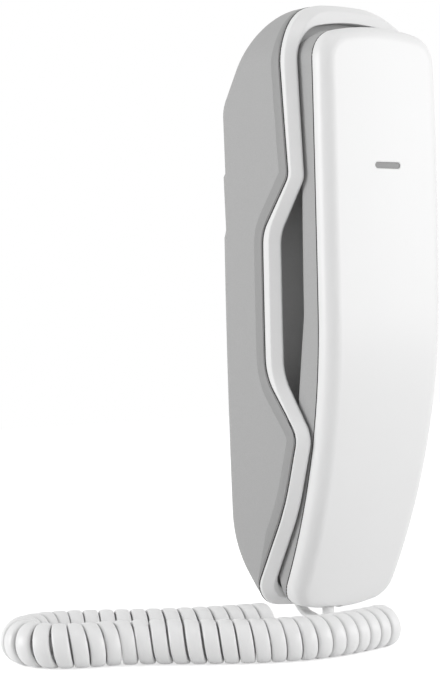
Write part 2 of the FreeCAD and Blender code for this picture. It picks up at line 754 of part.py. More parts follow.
key_spots = []
names = [["1", "2", "3"], ["4", "5", "6"], ["7", "8", "9"], ["star", "0", "hash"],
         ["flash", "redial", "mute"]]
for row, labels in enumerate(names):
    for column, label in enumerate(labels):
        key_spots.append((label, column, row, (1 - column) * s.keyPitchX, s.keyTopRow - row * s.keyPitchZ))
grey_cuts = [box(-s.pocketHalf, s.pocketHalf, 25.0, s.pocketFloor, s.pocketFoot, s.pocketTop)]
for label, column, row, x, z in key_spots:
    grey_cuts.append(box(x - s.keyWidth / 2 - s.keyClearance, x + s.keyWidth / 2 + s.keyClearance, 30.0,
                         pocket_back + 0.01,
                         z - s.keyHeight / 2 - s.keyClearance, z + s.keyHeight / 2 + s.keyClearance))
for x, z in upper_spots:
    grey_cuts.append(pin(x, z, s.handsetScrewHeadRadius + 0.3, 20.0,
                         upper_back + s.handsetScrewRecess + s.handsetScrewHeadHeight))
    grey_cuts.append(pin(x, z, s.handsetScrewRadius + 0.25, 20.0, upper_post + 1))
for x, z in lower_spots:
    grey_cuts.append(pin(x, z, s.handsetScrewHeadRadius + 0.3, 5.0,
                         s.mouthBackDepth + s.handsetScrewRecess + s.handsetScrewHeadHeight))
    grey_cuts.append(pin(x, z, s.handsetScrewRadius + 0.25, 5.0, lower_post + 1))
holes = [Vector(0, 0, s.soundHoleRise)]
for i in range(6):
    angle = math.pi / 3 * i
    holes.append(Vector(s.soundHoleRing * math.cos(angle), 0,
                        s.soundHoleRise + s.soundHoleRing * math.sin(angle)))
for hole in holes:
    drill = Part.makeCylinder(s.soundHoleRadius, 8.0, hole + Vector(0, 3, 0), Vector(0, -1, 0))
    grey_cuts.append(on_seat(drill, s.earSeatHeight))
for x in (-3.0, 0.0, 3.0):
    grey_cuts.append(pin(x, s.microphoneHeight, 0.8, 10.0, s.mouthBackDepth + s.handsetFloor + 0.5))
grey_cuts.append(plug_opening)
grey = solid_of(grey.cut(grey_cuts))
add_shape("handset_inner_shell", grey)

cover = whole.common(bow_slab(handset_half_seam, 30.0, 0.0))
room = hollow.common(bow_slab(-50.0, s.coverHeight - s.handsetWall, s.coverSag))
room = solid_of(room)
room = room.makeFillet(s.coverEdge - s.handsetWall, edges_between(room, is_side, is_front))
cover = cover.cut(room)
cover_parts = []
cover_limit = bow_slab(-50.0, s.coverHeight - 1.0, s.coverSag)
for spots, post in ((upper_spots, upper_post), (lower_spots, lower_post)):
    for x, z in spots:
        cover_parts.append(pin(x, z, s.handsetBossRadius, post + 0.1, 60.0).common(cover_limit))
cover = cover.fuse(cover_parts)


def oblong(length, width, depth0, depth1, height):
    half = (length - width) / 2
    long_side = box(-half, half, depth0, depth1, height - width / 2, height + width / 2)
    ends = [pin(x, height, width / 2, depth0, depth1) for x in (-half, half)]
    return long_side.fuse(ends).removeSplitter()


screw_length = 10.0
cover_cuts = [oblong(s.lensLength, s.lensWidth, 40.0, 60.0, s.lensHeight), plug_opening]
for spots, back in ((upper_spots, upper_back), (lower_spots, s.mouthBackDepth)):
    for x, z in spots:
        cover_cuts.append(pin(x, z, s.handsetScrewRadius + 0.05, back, back + screw_length + 2.5))
cover = solid_of(cover.cut(cover_cuts))
add_shape("handset_cover", cover)

lens = oblong(s.lensLength - 0.1, s.lensWidth - 0.1, 45.0, 60.0, s.lensHeight)
lens = lens.common(bow_slab(s.coverHeight - s.handsetWall - 0.6, s.coverHeight - s.lensRecess, s.coverSag))
flange = oblong(s.lensLength + 2 * s.lensFlange, s.lensWidth + 2 * s.lensFlange, 40.0, 60.0, s.lensHeight)
inner_face = s.coverHeight - s.handsetWall - 0.05
flange = flange.common(bow_slab(inner_face - s.lensFlangeThickness, inner_face, s.coverSag))
add_shape("indicator_lens", solid_of(lens.fuse(flange)))

# Screws: a flat head with a cross slot on a plain shaft
def screws(name, spots, head_radius, head_height, radius, length):
    pieces = []
    for x, z, start, sign in spots:
        head = pin(x, z, head_radius, min(start, start + sign * head_height),
                   max(start, start + sign * head_height))
        far = start + sign * length
        shaft = pin(x, z, radius, min(start, far), max(start, far))
        slot_end = start + sign * head_height * 0.5
        low, high = sorted((start - sign, slot_end))
        slots = [box(x - head_radius * 0.6, x + head_radius * 0.6, low, high, z - 0.3, z + 0.3),
                 box(x - 0.3, x + 0.3, low, high, z - head_radius * 0.6, z + head_radius * 0.6)]
        pieces.append(solid_of(head.fuse(shaft).cut(slots)))
    add_shape(name, pieces)


screws("base_screws", [(x, z, s.baseScrewRecess, 1) for x, z in base_spots],
       s.screwHeadRadius, s.screwHeadHeight, s.screwRadius, s.baseScrewReach - s.baseScrewRecess)
board_front = s.boardBack + s.boardThickness
screws("board_screws", [(x, z, board_front + s.boardScrewHeadHeight, -1) for x, z in board_spots],
       s.boardScrewHeadRadius, s.boardScrewHeadHeight, s.boardScrewRadius,
       s.boardScrewHeadHeight + s.boardScrewLength)
screws("handset_screws",
       [(x, z, upper_back + s.handsetScrewRecess, 1) for x, z in upper_spots]
       + [(x, z, s.mouthBackDepth + s.handsetScrewRecess, 1) for x, z in lower_spots],
       s.handsetScrewHeadRadius, s.handsetScrewHeadHeight, s.handsetScrewRadius, screw_length)

add_shape("wall_pads", [pin(x, z, s.wallPadRadius, 0.0, s.wallPadThickness) for x, z in pad_spots])
rests = []
for sign in (-1, 1):
    disc = Part.makeCylinder(s.restPadRadius, s.restPadThickness,
                             Vector(sign * s.earPadSpread, s.seatGap, 0), Vector(0, -1, 0))
    rests.append(on_seat(disc, s.earPadHeight))
    rests.append(pin(sign * s.mouthPadSpread, s.mouthPadHeight, s.restPadRadius, mouth_floor,
                     mouth_floor + s.restPadThickness))
add_shape("rest_pads", rests)


# Pieces built up from sketched pads. A layer is (kind, x, height, width or radius, tall, depth0, depth1), as
# expressions on the sheet; the sketch plane is XZ, so a pad grows away from the wall.
def new_body(name):
    body = doc.addObject("PartDesign::Body", name)
    body.Label = name
    nodes.append(body)
    return body


def plane_of(body, role):
    for feature in body.Origin.OriginFeatures:
        if feature.Role == role:
            return feature


def number(expression):
    return float(sheet.evalExpression(expression.replace("Sizes.", "")))


def add_sketch(body, name, x, height, depth):
    sketch = body.newObject("Sketcher::SketchObject", name)
    sketch.AttachmentSupport = [(plane_of(body, "XZ_Plane"), "")]
    sketch.MapMode = "FlatFace"
    sketch.AttachmentOffset = Placement(Vector(number(x), number(height), number(depth)), Rotation())
    sketch.setExpression(".AttachmentOffset.Base.x", x)
    sketch.setExpression(".AttachmentOffset.Base.y", height)
    sketch.setExpression(".AttachmentOffset.Base.z", depth)
    return sketch


def add_rectangle(sketch, width, tall):
    half = number(width) / 2
    rise = number(tall) / 2
    corners = [Vector(-half, -rise, 0), Vector(half, -rise, 0), Vector(half, rise, 0),
               Vector(-half, rise, 0)]
    for i in range(4):
        sketch.addGeometry(Part.LineSegment(corners[i], corners[(i + 1) % 4]), False)
    for i in range(4):
        sketch.addConstraint(Sketcher.Constraint("Coincident", i, 2, (i + 1) % 4, 1))
    for i in (0, 2):
        sketch.addConstraint(Sketcher.Constraint("Horizontal", i))
    for i in (1, 3):
        sketch.addConstraint(Sketcher.Constraint("Vertical", i))
    sketch.addConstraint(Sketcher.Constraint("Symmetric", 0, 1, 1, 2, -1, 1))
    at_width = sketch.addConstraint(Sketcher.Constraint("DistanceX", 0, 1, 0, 2, 2 * half))
    at_tall = sketch.addConstraint(Sketcher.Constraint("DistanceY", 1, 1, 1, 2, 2 * rise))
    sketch.setExpression("Constraints[%d]" % at_width, width)
    sketch.setExpression("Constraints[%d]" % at_tall, tall)


def add_circle(sketch, radius):
    sketch.addGeometry(Part.Circle(Vector(0, 0, 0), Vector(0, 0, 1), number(radius)), False)
    sketch.addConstraint(Sketcher.Constraint("Coincident", 0, 3, -1, 1))
    index = sketch.addConstraint(Sketcher.Constraint("Radius", 0, number(radius)))
    sketch.setExpression("Constraints[%d]" % index, radius)


def add_layer(body, index, kind, x, height, width, tall, depth0, depth1, feature="PartDesign::Pad"):
    sketch = add_sketch(body, body.Label + "_sketch%d" % index, x, height, depth0)
    if kind == "round":
        add_circle(sketch, width)
    else:
        add_rectangle(sketch, width, tall)
    pad = body.newObject(feature, body.Label + "_layer%d" % index)
    pad.Profile = sketch
    length = "(%s) - (%s)" % (depth1, depth0)
    pad.Length = number(length)
    pad.setExpression("Length", length)
    if feature == "PartDesign::Pocket":
        pad.Reversed = True
    sketch.Visibility = False
    return pad


def stack(name, layers):
    body = new_body(name)
    for index, layer in enumerate(layers):
        add_layer(body, index, *layer)
    return body


def seated(body, height):
    # Stands a body on the ear seat's line, along the lift direction
    body.Placement = seat_frame(number(height))
    body.setExpression(".Placement.Base.z", height)
    body.setExpression(".Placement.Base.y",
                       "-(Sizes.earSeatDepth - tan(Sizes.liftTilt * 1deg) * (%s - Sizes.earSeatHeight))"
                       % height)
    body.setExpression(".Placement.Rotation.Angle", "Sizes.liftTilt * 1deg")
    body.Placement.Rotation.Axis = Vector(-1, 0, 0)


board_face = "Sizes.boardBack + Sizes.boardThickness"
board_z = "(Sizes.boardTop - Sizes.boardFoot) / 2"
board_tall = "Sizes.boardTop + Sizes.boardFoot"

print("base board")
body = stack("base_board", [("box", "0", board_z, "2 * Sizes.boardHalf", board_tall, "Sizes.boardBack",
                             board_face)])
index = 1
for sx in ("", "-"):
    for z in ("Sizes.standoffTop", "Sizes.standoffFoot"):
        add_layer(body, index, "round", sx + "Sizes.standoffSpread", z,
                  "Sizes.boardScrewRadius + Sizes.fitClearance", "0",
                  "Sizes.boardBack", board_face, "PartDesign::Pocket")
        index += 1

stack("line_transformer", [
    ("box", "Sizes.transformerX", "Sizes.transformerZ", "Sizes.transformerWidth",
     "Sizes.transformerHeight", board_face,
     board_face + " + Sizes.transformerDepth - 1.5"),
    ("box", "Sizes.transformerX", "Sizes.transformerZ", "Sizes.transformerWidth - 4",
     "Sizes.transformerHeight - 3",
     board_face + " + Sizes.transformerDepth - 1.5", board_face + " + Sizes.transformerDepth"),
])
stack("board_chip", [
    ("box", "Sizes.chipX", "Sizes.chipZ", "Sizes.chipWidth", "Sizes.chipLength", board_face,
     board_face + " + Sizes.chipDepth"),
])
for offset, name in (("0", "capacitor_upper"), ("-Sizes.capacitorSpacing", "capacitor_lower")):
    stack(name, [("round", "Sizes.capacitorX", "Sizes.capacitorZ + (%s)" % offset, "Sizes.capacitorRadius",
                  "0", board_face,
                  board_face + " + Sizes.capacitorDepth")])
stack("ringer", [
    ("round", "Sizes.ringerX", "Sizes.ringerZ", "Sizes.ringerRadius", "0", board_face,
     board_face + " + Sizes.ringerDepth"),
    ("round", "Sizes.ringerX", "Sizes.ringerZ", "Sizes.ringerRadius / 4", "0",
     board_face + " + Sizes.ringerDepth",
     board_face + " + Sizes.ringerDepth + 0.8"),
])
# The hook switch stands up to the plunger's stem, which reaches this far in behind the ear seat
plunger_seat = ("(Sizes.earSeatDepth - tan(Sizes.liftTilt * 1deg)"
                " * (Sizes.plungerHeight - Sizes.earSeatHeight))")
stem_reach = ("(Sizes.seatGap + Sizes.cradleFloor + Sizes.runningGap + Sizes.plungerTravel"
              " + Sizes.plungerFlangeThickness + Sizes.plungerStemLength)")
switch_top = plunger_seat + " - cos(Sizes.liftTilt * 1deg) * " + stem_reach + " - Sizes.hookSwitchGap"
stack("hook_switch", [
    ("box", "0", "Sizes.plungerHeight - 2", "Sizes.hookSwitchWidth", "Sizes.hookSwitchLength", board_face,
     switch_top + " - 1"),
    ("box", "0", "Sizes.plungerHeight - 2", "4", "4", switch_top + " - 1", switch_top),
])

print("ringer switch")


def primitive_box(name, x, depth, height, length, width, tall):
    # A box whose corner has the least x and height and the greatest depth
    piece = doc.addObject("Part::Box", name)
    piece.setExpression("Length", length)
    piece.setExpression("Width", width)
    piece.setExpression("Height", tall)
    piece.setExpression(".Placement.Base.x", x)
    piece.setExpression(".Placement.Base.y", "-(%s)" % depth)
    piece.setExpression(".Placement.Base.z", height)
    return piece


def cut_node(name, base, tools):
    result = base
    for index, tool in enumerate(tools):
        cut = doc.addObject("Part::Cut", name if index == len(tools) - 1 else name + "_cut%d" % index)
        cut.Base = result
        cut.Tool = tool
        result = cut
    result.Label = name
    nodes.append(result)
    return result


def fuse_of(name, shapes):
    fused = doc.addObject("Part::MultiFuse", name)
    fused.Shapes = shapes
    return fused


switch_mid = "Sizes.boardBack + Sizes.boardThickness + Sizes.ringerSwitchDepth / 2"
switch_box = primitive_box("ringer_switch_box", "Sizes.ringerSwitchInner",
                           board_face + " + Sizes.ringerSwitchDepth",
                           "Sizes.ringerSwitchHeight - Sizes.ringerSwitchLength / 2",
                           "Sizes.ringerSwitchOuter - Sizes.ringerSwitchInner", "Sizes.ringerSwitchDepth",
                           "Sizes.ringerSwitchLength")
slot_tall = "Sizes.knobLength + Sizes.knobTravel + 2 * Sizes.knobClearance"
switch_slot = primitive_box("ringer_switch_slot", "Sizes.ringerSwitchOuter - 4",
                            switch_mid + " + Sizes.knobThickness / 2 + Sizes.knobClearance",
                            "Sizes.ringerSwitchHeight - (%s) / 2" % slot_tall, "8",
                            "Sizes.knobThickness + 2 * Sizes.knobClearance", slot_tall)
cut_node("ringer_switch_body", switch_box, [switch_slot])

knob_low = "Sizes.ringerSwitchHeight - Sizes.knobTravel / 2"
half_base = "Sizes.handsetHalf + Sizes.rimClearance + Sizes.rimWidth"
stem = primitive_box("knob_stem", "Sizes.ringerSwitchOuter - 3.5",
                     switch_mid + " + Sizes.knobThickness / 2",
                     knob_low + " - Sizes.knobLength / 2",
                     half_base + " + 0.3 - (Sizes.ringerSwitchOuter - 3.5)",
                     "Sizes.knobThickness", "Sizes.knobLength")
cap = primitive_box("knob_cap", half_base + " + 0.15", switch_mid + " + Sizes.knobCapHeight / 2",
                    knob_low + " - Sizes.knobCapLength / 2", "Sizes.knobCapThickness",
                    "Sizes.knobCapHeight",
                    "Sizes.knobCapLength")
knob_fused = fuse_of("knob_fused", [stem, cap])
doc.recompute()
knob = doc.addObject("Part::Fillet", "ringer_switch_knob")
knob.Base = knob_fused
outer_x = number(half_base) + 0.15 + s.knobCapThickness
chosen = []
for index, edge in enumerate(knob_fused.Shape.Edges, 1):
    box_of = edge.BoundBox
    if abs(box_of.XMin - outer_x) < 0.001 and abs(box_of.XMax - outer_x) < 0.001:
        chosen.append((index, s.knobCapEdge, s.knobCapEdge))
knob.Edges = chosen
knob.Label = "ringer_switch_knob"
nodes.append(knob)

print("jacks and plugs")
for name, x, width, opening in (("base_handset_jack", "Sizes.cordJackX", "Sizes.cordJackWidth",
                                 "Sizes.plugWidth + 2 * Sizes.fitClearance"),
                                ("line_jack", "Sizes.lineJackX", "Sizes.lineJackWidth",
                                 "Sizes.lineOpeningWidth")):
    shell_box = primitive_box(name + "_box", "%s - %s / 2" % (x, width),
                              "Sizes.jackFloor + Sizes.jackHeight", "Sizes.jackFoot",
                              width, "Sizes.jackHeight", "Sizes.jackLength")
    tab = primitive_box(name + "_tab", "%s - %s / 4" % (x, width), board_face + " + Sizes.jackTabThickness",
                        "Sizes.jackFoot + Sizes.jackLength - 1", "%s / 2" % width, "Sizes.jackTabThickness",
                        "Sizes.jackTabLength + 1")
    body_box = fuse_of(name + "_body", [shell_box, tab])
    mouth = primitive_box(name + "_mouth", "%s - (%s) / 2" % (x, opening),
                          "Sizes.jackFloor + Sizes.jackHeight / 2 + Sizes.plugThickness / 2"
                          " + Sizes.plugClearance",
                          "Sizes.jackFoot - 1", opening, "Sizes.plugThickness + 2 * Sizes.plugClearance",
                          "Sizes.jackDepth + 1")
    cut_node(name, body_box, [mouth])

jack_middle = "Sizes.jackFloor + Sizes.jackHeight / 2"


def plug_node(name, x, depth, foot, width, thickness, length):
    blank = primitive_box(name + "_blank", "%s - (%s) / 2" % (x, width),
                          "%s + (%s) / 2" % (depth, thickness), foot, width,
                          thickness, length)
    grooves = []
    for index in range(4):
        grooves.append(primitive_box(name + "_groove%d" % index, "%s - 2.2 + %g" % (x, 1.27 * index),
                                     "%s + (%s) / 2 + 1" % (depth, thickness),
                                     "%s + (%s) - 3" % (foot, length), "0.6", "1.6",
                                     "4"))
    cut_node(name, blank, grooves)


plug_node("base_plug", "Sizes.cordJackX", jack_middle, "Sizes.basePlugFoot", "Sizes.plugWidth",
          "Sizes.plugThickness",
          "Sizes.plugLength")
plug_node("handset_plug", "Sizes.handsetJackX", "Sizes.handsetPlugDepth", "Sizes.handsetPlugFoot",
          "Sizes.plugWidth",
          "Sizes.handsetPlugThickness", "Sizes.handsetPlugTop - Sizes.handsetPlugFoot")
inner_jack = primitive_box("handset_jack_box", "Sizes.handsetJackX - Sizes.handsetJackWidth / 2",
                           "Sizes.handsetJackBack + Sizes.handsetJackHeight", "Sizes.handsetJackFoot",
                           "Sizes.handsetJackWidth", "Sizes.handsetJackHeight",
                           "Sizes.handsetJackTop - Sizes.handsetJackFoot")
jack_mouth = primitive_box("handset_jack_mouth",
                           "Sizes.handsetJackX - Sizes.plugWidth / 2 - Sizes.fitClearance",
                           "Sizes.handsetPlugDepth + Sizes.handsetPlugThickness / 2 + Sizes.plugClearance",
                           "Sizes.handsetJackFoot - 1", "Sizes.plugWidth + 2 * Sizes.fitClearance",
                           "Sizes.handsetPlugThickness + 2 * Sizes.plugClearance",
                           "Sizes.handsetPlugTop - Sizes.handsetJackFoot + 1.5")
cut_node("handset_jack", inner_jack, [jack_mouth])

print("hook plunger")
plunger_top = "(-Sizes.plungerTip)"
flange_top = "(-(Sizes.seatGap + Sizes.cradleFloor + Sizes.runningGap + Sizes.plungerTravel))"
flange_foot = "(%s - Sizes.plungerFlangeThickness)" % flange_top
stem_foot = "(%s - Sizes.plungerStemLength)" % flange_foot
plunger = new_body("hook_plunger")
add_layer(plunger, 0, "round", "0", "0", "Sizes.plungerStemRadius", "0", stem_foot, flange_foot)
add_layer(plunger, 1, "box", "0", "0", "Sizes.plungerWidth + 2 * Sizes.plungerFlange",
          "Sizes.plungerWidth + 2 * Sizes.plungerFlange", flange_foot, flange_top)
last = add_layer(plunger, 2, "box", "0", "0", "Sizes.plungerWidth", "Sizes.plungerWidth", flange_top,
                 plunger_top)
doc.recompute()
tip_y = -number(plunger_top)
tips = []
for index, edge in enumerate(last.Shape.Edges, 1):
    if abs(edge.BoundBox.YMin - tip_y) < 0.001 and abs(edge.BoundBox.YMax - tip_y) < 0.001:
        tips.append("Edge%d" % index)
rounding = plunger.newObject("PartDesign::Fillet", "hook_plunger_round")
rounding.Base = (last, tips)
rounding.Radius = 0.8
seated(plunger, "Sizes.plungerHeight")

print("keys")
wall_back = "(Sizes.pocketFloor + Sizes.pocketWall)"
for label, column, row, x, z in key_spots:
    name = "key_" + label
    key = new_body(name)
    key_x = "%d * Sizes.keyPitchX" % (1 - column)
    key_z = "Sizes.keyTopRow - %d * Sizes.keyPitchZ" % row
    flange_in = wall_back + " + Sizes.runningGap"
    flange_out = flange_in + " + Sizes.keyFlangeThickness"
    head = add_layer(key, 0, "box", key_x, key_z, "Sizes.keyWidth", "Sizes.keyHeight", "Sizes.keyTop",
                     flange_in)
    add_layer(key, 1, "box", key_x, key_z, "Sizes.keyWidth + 2 * Sizes.keyFlange",
              "Sizes.keyHeight + 2 * Sizes.keyFlange",
              flange_in, flange_out)
    last = add_layer(key, 2, "round", key_x, key_z, "Sizes.keyPostRadius", "0", flange_out,
                     flange_out + " + Sizes.keyPostLength")
    doc.recompute()
    tips = []
    for index, edge in enumerate(last.Shape.Edges, 1):
        if abs(edge.BoundBox.YMin + s.keyTop) < 0.001 and abs(edge.BoundBox.YMax + s.keyTop) < 0.001:
            tips.append("Edge%d" % index)
    rounding = key.newObject("PartDesign::Fillet", name + "_round")
    rounding.Base = (last, tips)
    rounding.Radius = s.keyRound
    rounding.setExpression("Radius", "Sizes.keyRound")

mat_in = wall_back + " + 2 * Sizes.runningGap + Sizes.keyFlangeThickness + Sizes.keyPostLength"
mat_out = mat_in + " + Sizes.matThickness"
mat = stack("keypad_mat", [("box", "0", "(Sizes.pocketTop + Sizes.pocketFoot) / 2", "2 * Sizes.matHalf",
                            "Sizes.pocketTop - Sizes.pocketFoot + 1", mat_in, mat_out)])
for index, (label, column, row, x, z) in enumerate(key_spots, 1):
    add_layer(mat, index, "round", "%d * Sizes.keyPitchX" % (1 - column),
              "Sizes.keyTopRow - %d * Sizes.keyPitchZ" % row,
              "Sizes.matWell", "0", mat_in, mat_out, "PartDesign::Pocket")
board_out = mat_out + " + Sizes.handsetBoardThickness"
inner_board = stack("handset_board", [("box", "0", "(Sizes.handsetBoardTop + Sizes.handsetBoardFoot) / 2",
                                       "2 * Sizes.handsetBoardHalf",
                                       "Sizes.handsetBoardTop - Sizes.handsetBoardFoot",
                                       mat_out, board_out)])
for index, sx in enumerate(("", "-"), 1):
    add_layer(inner_board, index, "round", sx + "Sizes.upperScrewSpread", "Sizes.upperScrewHeight",
              "Sizes.handsetBossRadius + 0.3", "0", mat_out, board_out, "PartDesign::Pocket")
stack("indicator_lamp", [
    ("round", "0", "Sizes.lensHeight", "Sizes.lampRadius + 0.3", "0", board_out, board_out + " + 1"),
    ("round", "0", "Sizes.lensHeight", "Sizes.lampRadius", "0", board_out + " + 1",
     board_out + " + Sizes.lampLength"),
])
stack("handset_weight", [
    ("box", "0", "Sizes.weightMiddle", "Sizes.weightWidth", "Sizes.weightHeight", "Sizes.weightBack",
     "Sizes.weightBack + Sizes.weightDepth"),
])

print("receiver and microphone")
gasket_in = "Sizes.handsetFloor + Sizes.runningGap"
gasket_out = gasket_in + " + Sizes.gasketThickness"
gasket = stack("receiver_gasket", [("round", "0", "0", "Sizes.receiverRadius", "0", gasket_in, gasket_out)])
add_layer(gasket, 1, "round", "0", "0", "Sizes.receiverRadius - Sizes.gasketWidth", "0", gasket_in,
          gasket_out,
          "PartDesign::Pocket")
seated(gasket, "Sizes.earSeatHeight")
receiver = stack("receiver", [
    ("round", "0", "0", "Sizes.receiverRadius", "0", gasket_out + " + Sizes.runningGap",
     gasket_out + " + Sizes.runningGap + 2.5"),
    ("round", "0", "0", "Sizes.receiverRadius - 1.5", "0", gasket_out + " + Sizes.runningGap + 2.5",
     gasket_out + " + Sizes.runningGap + Sizes.receiverDepth"),
])
seated(receiver, "Sizes.earSeatHeight")
mouth_wall = "Sizes.mouthBackDepth + Sizes.handsetFloor"
stack("microphone", [
    ("round", "0", "Sizes.microphoneHeight", "Sizes.microphoneRadius", "0", mouth_wall + " + 0.4",
     mouth_wall + " + 0.4 + Sizes.microphoneDepth"),
])
boot = stack("microphone_boot", [("round", "0", "Sizes.microphoneHeight",
                                  "Sizes.microphoneRadius + Sizes.runningGap + "
                                  "Sizes.bootThickness", "0", mouth_wall + " + Sizes.runningGap",
                                  mouth_wall + " + Sizes.microphoneDepth")])
add_layer(boot, 1, "round", "0", "Sizes.microphoneHeight", "Sizes.microphoneRadius + Sizes.runningGap", "0",
          mouth_wall + " + Sizes.runningGap", mouth_wall + " + Sizes.microphoneDepth", "PartDesign::Pocket")

print("cord")
# Points of the coil's centre line on the surface (x, depth), from its handset end round to its base end
coil_points = [
    (-15.0, 70.0), (-30.0, 73.6), (-48.0, 73.8), (-64.0, 67.7), (-79.0, 57.8), (-91.0, 47.8),
    (-101.0, 41.0),
    (-111.0, 38.0), (-120.0, 32.5), (-123.5, 22.5), (-119.5, 12.8), (-109.5, 10.2), (-99.0, 16.3),
    (-87.0, 24.6),
    (-74.0, 32.4), (-60.0, 38.2), (-44.1, 42.8),
]
coil_height = s.floorHeight + s.coilOuter / 2
coil_radius = (s.coilOuter - s.coilWire) / 2
centre_line = Part.BSplineCurve()
poles = [at(x, depth, coil_height) for x, depth in coil_points]
centre_line.buildFromPolesMultsKnots(poles, [3] + [1] * (len(poles) - 3) + [3],
                                     list(range(len(poles) - 1)), False, 2)
steps = 3000
first = centre_line.FirstParameter
last_knot = centre_line.LastParameter
marks = [first + (last_knot - first) * i / steps for i in range(steps + 1)]
spots = [centre_line.value(mark) for mark in marks]
travelled = [0.0]
for before, after in zip(spots, spots[1:]):
    travelled.append(travelled[-1] + before.distanceToPoint(after))
pitches = []
for mark, run in zip(marks, travelled):
    share = min(1.0, max(0.0, (run - 45.0) / 25.0))
    plain = s.coilPitchAtHandset + (s.coilPitch - s.coilPitchAtHandset) * share
    # Where the line bends, the turns spread so that their inner sides stay apart
    inner = 1 - centre_line.curvature(mark) * s.coilOuter / 2 * 0.92
    pitches.append(max(plain, (s.coilWire + s.coilLeastGap) / inner))
turned = [0.0]
for i in range(steps):
    near = [pitches[k] for k in range(max(0, i - 55), min(steps, i + 56))]
    turned.append(turned[-1] + (travelled[i + 1] - travelled[i]) * len(near) / sum(near))
turns = int(math.floor(turned[-1]))
turned = [value * turns / turned[-1] for value in turned]


def helix_point(turn):
    low, high = 0, steps
    while high - low > 1:
        middle = (low + high) // 2
        if turned[middle] <= turn:
            low = middle
        else:
            high = middle
    share = (turn - turned[low]) / (turned[high] - turned[low])
    mark = first + (last_knot - first) * (low + share) / steps
    along = centre_line.tangent(mark)[0]
    side = Vector(0, 0, 1).cross(along)
    angle = 2 * math.pi * turn
    return (centre_line.value(mark) - Vector(0, 0, coil_radius * math.cos(angle))
            + side * (coil_radius * math.sin(angle)))


def helix_direction(turn):
    before = helix_point(max(0.0, turn - 0.0005))
    after = helix_point(min(float(turns), turn + 0.0005))
    return (after - before).normalize()


def biarc(start, start_way, end, end_way):
    across = end - start
    both = start_way + end_way
    a = 4.0 - both.dot(both)
    b = across.dot(both)
    reach = (math.sqrt(b * b + a * across.dot(across)) - b) / a
    near = start + start_way * reach
    far = end - end_way * reach
    joint = (near + far) * 0.5
    arcs = []
    for begin, corner, finish in ((start, near, joint), (joint, far, end)):
        chord = (begin + finish) * 0.5
        cosine = (chord - begin).Length / reach
        arcs.append(Part.Arc(begin, corner + (chord - corner) * (1 / (1 + cosine)), finish).toShape())
    return arcs


def tube(path_edges, way, diameter):
    path = Part.Wire(path_edges)
    start = path_edges[0].valueAt(path_edges[0].FirstParameter)
    ring_wire = Part.Wire([Part.Circle(start, way, diameter / 2).toShape()])
    solid = path.makePipeShell([ring_wire], True, False)
    expected = math.pi * diameter ** 2 / 4 * path.Length
    print("tube length %.1f mm, volume %.1f, section times length %.1f"
          % (path.Length, solid.Volume, expected))
    return solid


def least_gap(path_edges, diameter, skip):
    # Least gap of a tube to itself, from points on its centre line more than skip apart along it
    cells = {}
    run = 0.0
    least = 1e9
    for edge in path_edges:
        count = max(2, int(edge.Length / 0.5))
        for k in range(count):
            point = edge.valueAt(edge.FirstParameter
                                 + (edge.LastParameter - edge.FirstParameter) * k / count)
            place = run + edge.Length * k / count
            cell = (int(point.x // 5), int(point.y // 5), int(point.z // 5))
            for dx in (-1, 0, 1):
                for dy in (-1, 0, 1):
                    for dz in (-1, 0, 1):
                        for other_place, other in cells.get((cell[0] + dx, cell[1] + dy, cell[2] + dz), ()):
                            if place - other_place > skip:
                                least = min(least, point.distanceToPoint(other))
            cells.setdefault(cell, []).append((place, point))
        run += edge.Length
    return least - diameter


coil_edges = []
stations = [0.5 * i for i in range(2 * turns + 1)]
for low, high in zip(stations, stations[1:]):
    coil_edges += biarc(helix_point(low), helix_direction(low), helix_point(high), helix_direction(high))
coil_start_way = helix_direction(0.0)
coil_start_way = Vector(coil_start_way.x, coil_start_way.y, 0).normalize()
coil_end_way = helix_direction(float(turns))
coil_end_way = Vector(coil_end_way.x, coil_end_way.y, 0).normalize()
coil_start = helix_point(0.0) - coil_start_way * s.coilWire
coil_end = helix_point(float(turns)) + coil_end_way * s.coilWire
coil_edges.insert(0, Part.LineSegment(coil_start, helix_point(0.0)).toShape())
coil_edges.append(Part.LineSegment(helix_point(float(turns)), coil_end).toShape())
print("coil: %d turns, least gap %.2f mm" % (turns, least_gap(coil_edges, s.coilWire, 10.0)))
print("coil start", coil_start, coil_start_way, "end", coil_end, coil_end_way)
add_shape("curly_cord", tube(coil_edges, coil_start_way, s.coilWire))


def lead(name, points, diameter):
    ends = []
    for before, here, after in zip(points, points[1:], points[2:]):
        back = before - here
        ahead = after - here
        shorter = min(back.Length, ahead.Length)
        half = back.getAngle(ahead) / 2
        reach = 0.45 * shorter
        radius = reach * math.tan(half)
        back.normalize()
        ahead.normalize()
        middle = here + (back + ahead).normalize() * (radius / math.sin(half) - radius)
        ends.append((here + back * reach, middle, here + ahead * reach))
        print("%s bend radius %.1f mm, turn %.0f degrees" % (name, radius, 180 - math.degrees(2 * half)))
    edges = []
    at_point = points[0]
    for start, middle, end in ends:
        edges.append(Part.LineSegment(at_point, start).toShape())
        edges.append(Part.Arc(start, middle, end).toShape())
        at_point = end
    edges.append(Part.LineSegment(at_point, points[-1]).toShape())
    way = (points[1] - points[0]).normalize()
    add_shape(name, tube(edges, way, diameter))


